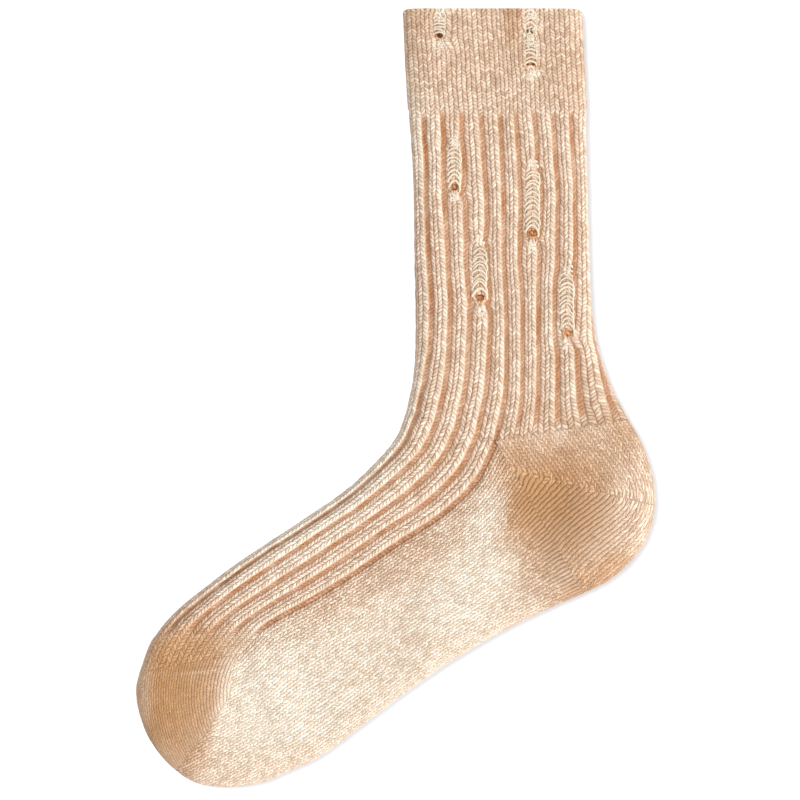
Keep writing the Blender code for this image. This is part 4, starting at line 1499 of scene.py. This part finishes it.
class SockColours(bpy.types.PropertyGroup):
    """Colours of the yarn."""
    # Cream also lays painted highlight along the leg's back edge and the heel's rim.
    cream: colour_setting("Cream", "Raised yarn of the leg and foot", (0.97, 0.79, 0.64))
    # Bleached also lays painted highlight on the sole's swells and the instep's edge.
    bleached: colour_setting("Bleached", "Palest worn yarn of the sole", (1.00, 0.925, 0.81))
    # Peach also lays painted shade along the leg's front edge.
    peach: colour_setting("Peach", "Dulled yarn of the cuff and heel", (0.78, 0.55, 0.385))
    # Tan also lays painted shade in the heel's hollow and along the cuff's front edge.
    tan: colour_setting("Tan", "Darkest worn yarn of heel and toe", (0.63, 0.345, 0.155))
    rust: colour_setting("Rust", "Stains under the brim", (0.60, 0.33, 0.15))
    # Channel: the purl's tone with painted shade, for channels, grooves and shaded flanks.
    channel: colour_setting("Channel", "Yarn deep between the ribs", (0.63, 0.35, 0.20))
    inside: colour_setting("Inside", "Share of colour left inside", (0.95, 0.88, 0.80))
    # Orange-brown round the holes, and painted shade inside them.
    hole_brown_and_shade: colour_setting("Burnt", "Stain round and inside the holes", (1.00, 0.52, 0.22))
    # Gaps: painted shade left between the strands.
    cream_gap: colour_setting("Cream gap", "Share left between cream strands",
                              (0.44, 0.34, 0.26))
    tan_gap: colour_setting("Tan gap", "Share left between tan strands", (0.55, 0.42, 0.30))


class SockKnit(bpy.types.PropertyGroup):
    """Sizes of the knitting, in millimetres."""
    course: FloatProperty(name="Course", description="Height of one stitch in mm", default=1.75)
    stitch_depth: FloatProperty(name="Stitch depth", description="Depth between strands in mm",
                                default=0.34)
    rib_depth: FloatProperty(name="Rib depth", description="Depth of a rib's channel in mm",
                             default=1.2)
    rung: FloatProperty(name="Rung", description="Radius of the loose yarn in mm", default=0.42)


class SockStage(bpy.types.PropertyGroup):
    """Camera, lights and surface."""
    view_width: FloatProperty(name="View width", description="Width that the camera takes in",
                              default=0.336, unit="LENGTH")
    distance: FloatProperty(name="Distance", description="Camera's height above the sock",
                            default=3.0, unit="LENGTH")
    key: FloatProperty(name="Key light", description="Light on the sock from the right",
                       default=2.25)
    drop: FloatProperty(name="Shadow light", description="Light that casts the sock's shadow",
                        default=1.5)
    ambient: FloatProperty(name="Ambient", description="Strength of the light all round",
                           default=0.74)
    floor_glow: FloatProperty(name="Surface lift", description="Light added to the surface",
                              default=0.34)


# ---------------------------------------------------------------------------
# Operators
# ---------------------------------------------------------------------------

SURFACE_HALF = 3.0              # half the surface's width, in metres
OFF_CENTRE = (0.0019, -0.0008)  # from the sock's middle to the camera's, in metres
SENSOR = 36.0                   # width of the camera's sensor, in mm

# The suns: their spread, height and direction in degrees, and the collection that holds the
# surface for one to leave out and the other to light alone.
Sun = namedtuple("Sun", "name spread high around collection state")
SUNS = [Sun("key", 20.0, 40.0, -25.0, "all_but_surface", "EXCLUDE"),
        Sun("drop", 22.0, 71.0, 152.0, "surface_only", "INCLUDE")]


def dress(piece, slot_name, *nodes):
    """Make a piece ride on the sock, and stand for its node if it has one."""
    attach(piece, "root")
    if nodes:
        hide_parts(*nodes)


class SOCK_OT_cuff(bpy.types.Operator):
    """Knit the cuff"""
    bl_idname = "sock.cuff"
    bl_label = "Cuff"

    def execute(self, context):
        piece = tube_piece("cuff", CUFF, cuff_field)
        dress(piece, "knit_cream", "cuff")
        return {"FINISHED"}


class SOCK_OT_leg(bpy.types.Operator):
    """Knit the ribbed leg"""
    bl_idname = "sock.leg"
    bl_label = "Leg"

    def execute(self, context):
        piece = tube_piece("leg", LEG, leg_field)
        dress(piece, "knit_cream", "leg")
        return {"FINISHED"}


class SOCK_OT_heel(bpy.types.Operator):
    """Knit the turned heel"""
    bl_idname = "sock.heel"
    bl_label = "Heel"

    def execute(self, context):
        name = "knit_heel"
        piece = pocket_piece(name, pocket_arm(ANKLE, HEEL_RIM, GRIDS[name]), heel_field)
        dress(piece, "knit_tan", "heel")
        return {"FINISHED"}


class SOCK_OT_foot(bpy.types.Operator):
    """Knit the foot: its ribbed instep and its plain sole"""
    bl_idname = "sock.foot"
    bl_label = "Foot"

    def execute(self, context):
        name = "knit_instep"
        piece = half_piece(name, tube_arms(FOOT, GRIDS[name])[0], instep_field)
        dress(piece, "knit_cream", "foot")

        name = "knit_sole"
        piece = half_piece(name, tube_arms(FOOT, GRIDS[name])[1], sole_field)
        dress(piece, "knit_cream", "foot")
        return {"FINISHED"}


class SOCK_OT_toe(bpy.types.Operator):
    """Knit the turned toe"""
    bl_idname = "sock.toe"
    bl_label = "Toe"

    def execute(self, context):
        name = "knit_toe"
        piece = pocket_piece(name, pocket_arm(FOOT[-1], TOE_RIM, GRIDS[name]), toe_field)
        dress(piece, "knit_tan", "toe")
        return {"FINISHED"}


class SOCK_OT_ladders(bpy.types.Operator):
    """Lay the loose rungs and loops of yarn across the ladders"""
    bl_idname = "sock.ladders"
    bl_label = "Ladders"

    def execute(self, context):
        chance = np.random.default_rng(11)
        material = loose_material()
        for number, ladder in enumerate(LADDERS, 1):
            name = "ladder_%d_%s" % (number, ladder.section)
            dress(yarn_piece(name, *ladder_yarns(ladder, chance), material), "knit_cream")
        return {"FINISHED"}


class SOCK_OT_stage(bpy.types.Operator):
    """Set the white surface, the lights and the camera"""
    bl_idname = "sock.stage"
    bl_label = "Stage"

    def execute(self, context):
        settings = context.scene.sock_stage
        half = SURFACE_HALF
        surface = bpy.data.meshes.new("surface")
        surface.from_pydata([(-half, -half, 0), (half, -half, 0), (half, half, 0),
                             (-half, half, 0)], [], [(0, 1, 2, 3)])
        surface.materials.append(floor_material())
        floor = in_scene("surface", surface)

        camera = bpy.data.cameras.new("camera")
        camera.sensor_width = SENSOR
        camera.lens = SENSOR * settings.distance / settings.view_width
        camera.clip_end = 100.0
        eye = in_scene("camera", camera)
        middle = np.mean(CAD_BOX, axis=0)
        eye.location = tuple(middle + (*OFF_CENTRE, settings.distance))
        context.scene.camera = eye

        # The light on the sock comes from the right; the surface takes its own from the left.
        for sun in SUNS:
            light = bpy.data.lights.new(sun.name, "SUN")
            light.energy = getattr(settings, sun.name)
            light.angle = np.radians(sun.spread)
            lamp = in_scene(sun.name, light)
            lamp.rotation_euler = (0.0, np.radians(90 - sun.high), np.radians(sun.around))
            receivers = bpy.data.collections.new(sun.collection)
            receivers.objects.link(floor)
            lamp.light_linking.receiver_collection = receivers
            receivers.collection_objects[0].light_linking.link_state = sun.state

        world = bpy.data.worlds.new("studio")
        context.scene.world = world
        n = Nodes(world, "Background")
        level = n.add("ShaderNodeMapRange", {"Value": n.straight_view(),
                                             "To Min": settings.ambient, "To Max": 1.0})
        n.fill(n.shader, {"Color": WHITE, "Strength": level.outputs["Result"]})
        context.scene.view_settings.view_transform = "Standard"
        return {"FINISHED"}


class SOCK_PT_panel(bpy.types.Panel):
    """Sock panel in the 3D view's sidebar"""
    bl_idname = "SOCK_PT_panel"
    bl_label = "Holey Sock"
    bl_space_type = "VIEW_3D"
    bl_region_type = "UI"
    bl_category = "Sock"

    def draw(self, context):
        layout = self.layout
        for group in (context.scene.sock_colours, context.scene.sock_knit,
                      context.scene.sock_stage):
            box = layout.box()
            for key in type(group).__annotations__:
                box.prop(group, key)
        for operator in OPERATORS:
            layout.operator(operator.bl_idname)


OPERATORS = (SOCK_OT_stage, SOCK_OT_cuff, SOCK_OT_leg, SOCK_OT_heel, SOCK_OT_foot, SOCK_OT_toe,
             SOCK_OT_ladders)
CLASSES = (SockColours, SockKnit, SockStage) + OPERATORS + (SOCK_PT_panel,)


def register():
    """Register the settings, the operators and the panel."""
    for cls in CLASSES:
        bpy.utils.register_class(cls)
    bpy.types.Scene.sock_colours = PointerProperty(type=SockColours)
    bpy.types.Scene.sock_knit = PointerProperty(type=SockKnit)
    bpy.types.Scene.sock_stage = PointerProperty(type=SockStage)


def unregister():
    """Remove what register added."""
    del bpy.types.Scene.sock_colours
    del bpy.types.Scene.sock_knit
    del bpy.types.Scene.sock_stage
    for cls in reversed(CLASSES):
        bpy.utils.unregister_class(cls)


def main():
    """Make the stage and the pieces in order."""
    register()
    bpy.ops.sock.stage()
    bpy.ops.sock.cuff()
    bpy.ops.sock.leg()
    bpy.ops.sock.heel()
    bpy.ops.sock.foot()
    bpy.ops.sock.toe()
    bpy.ops.sock.ladders()


if __name__ == "__main__":
    main()
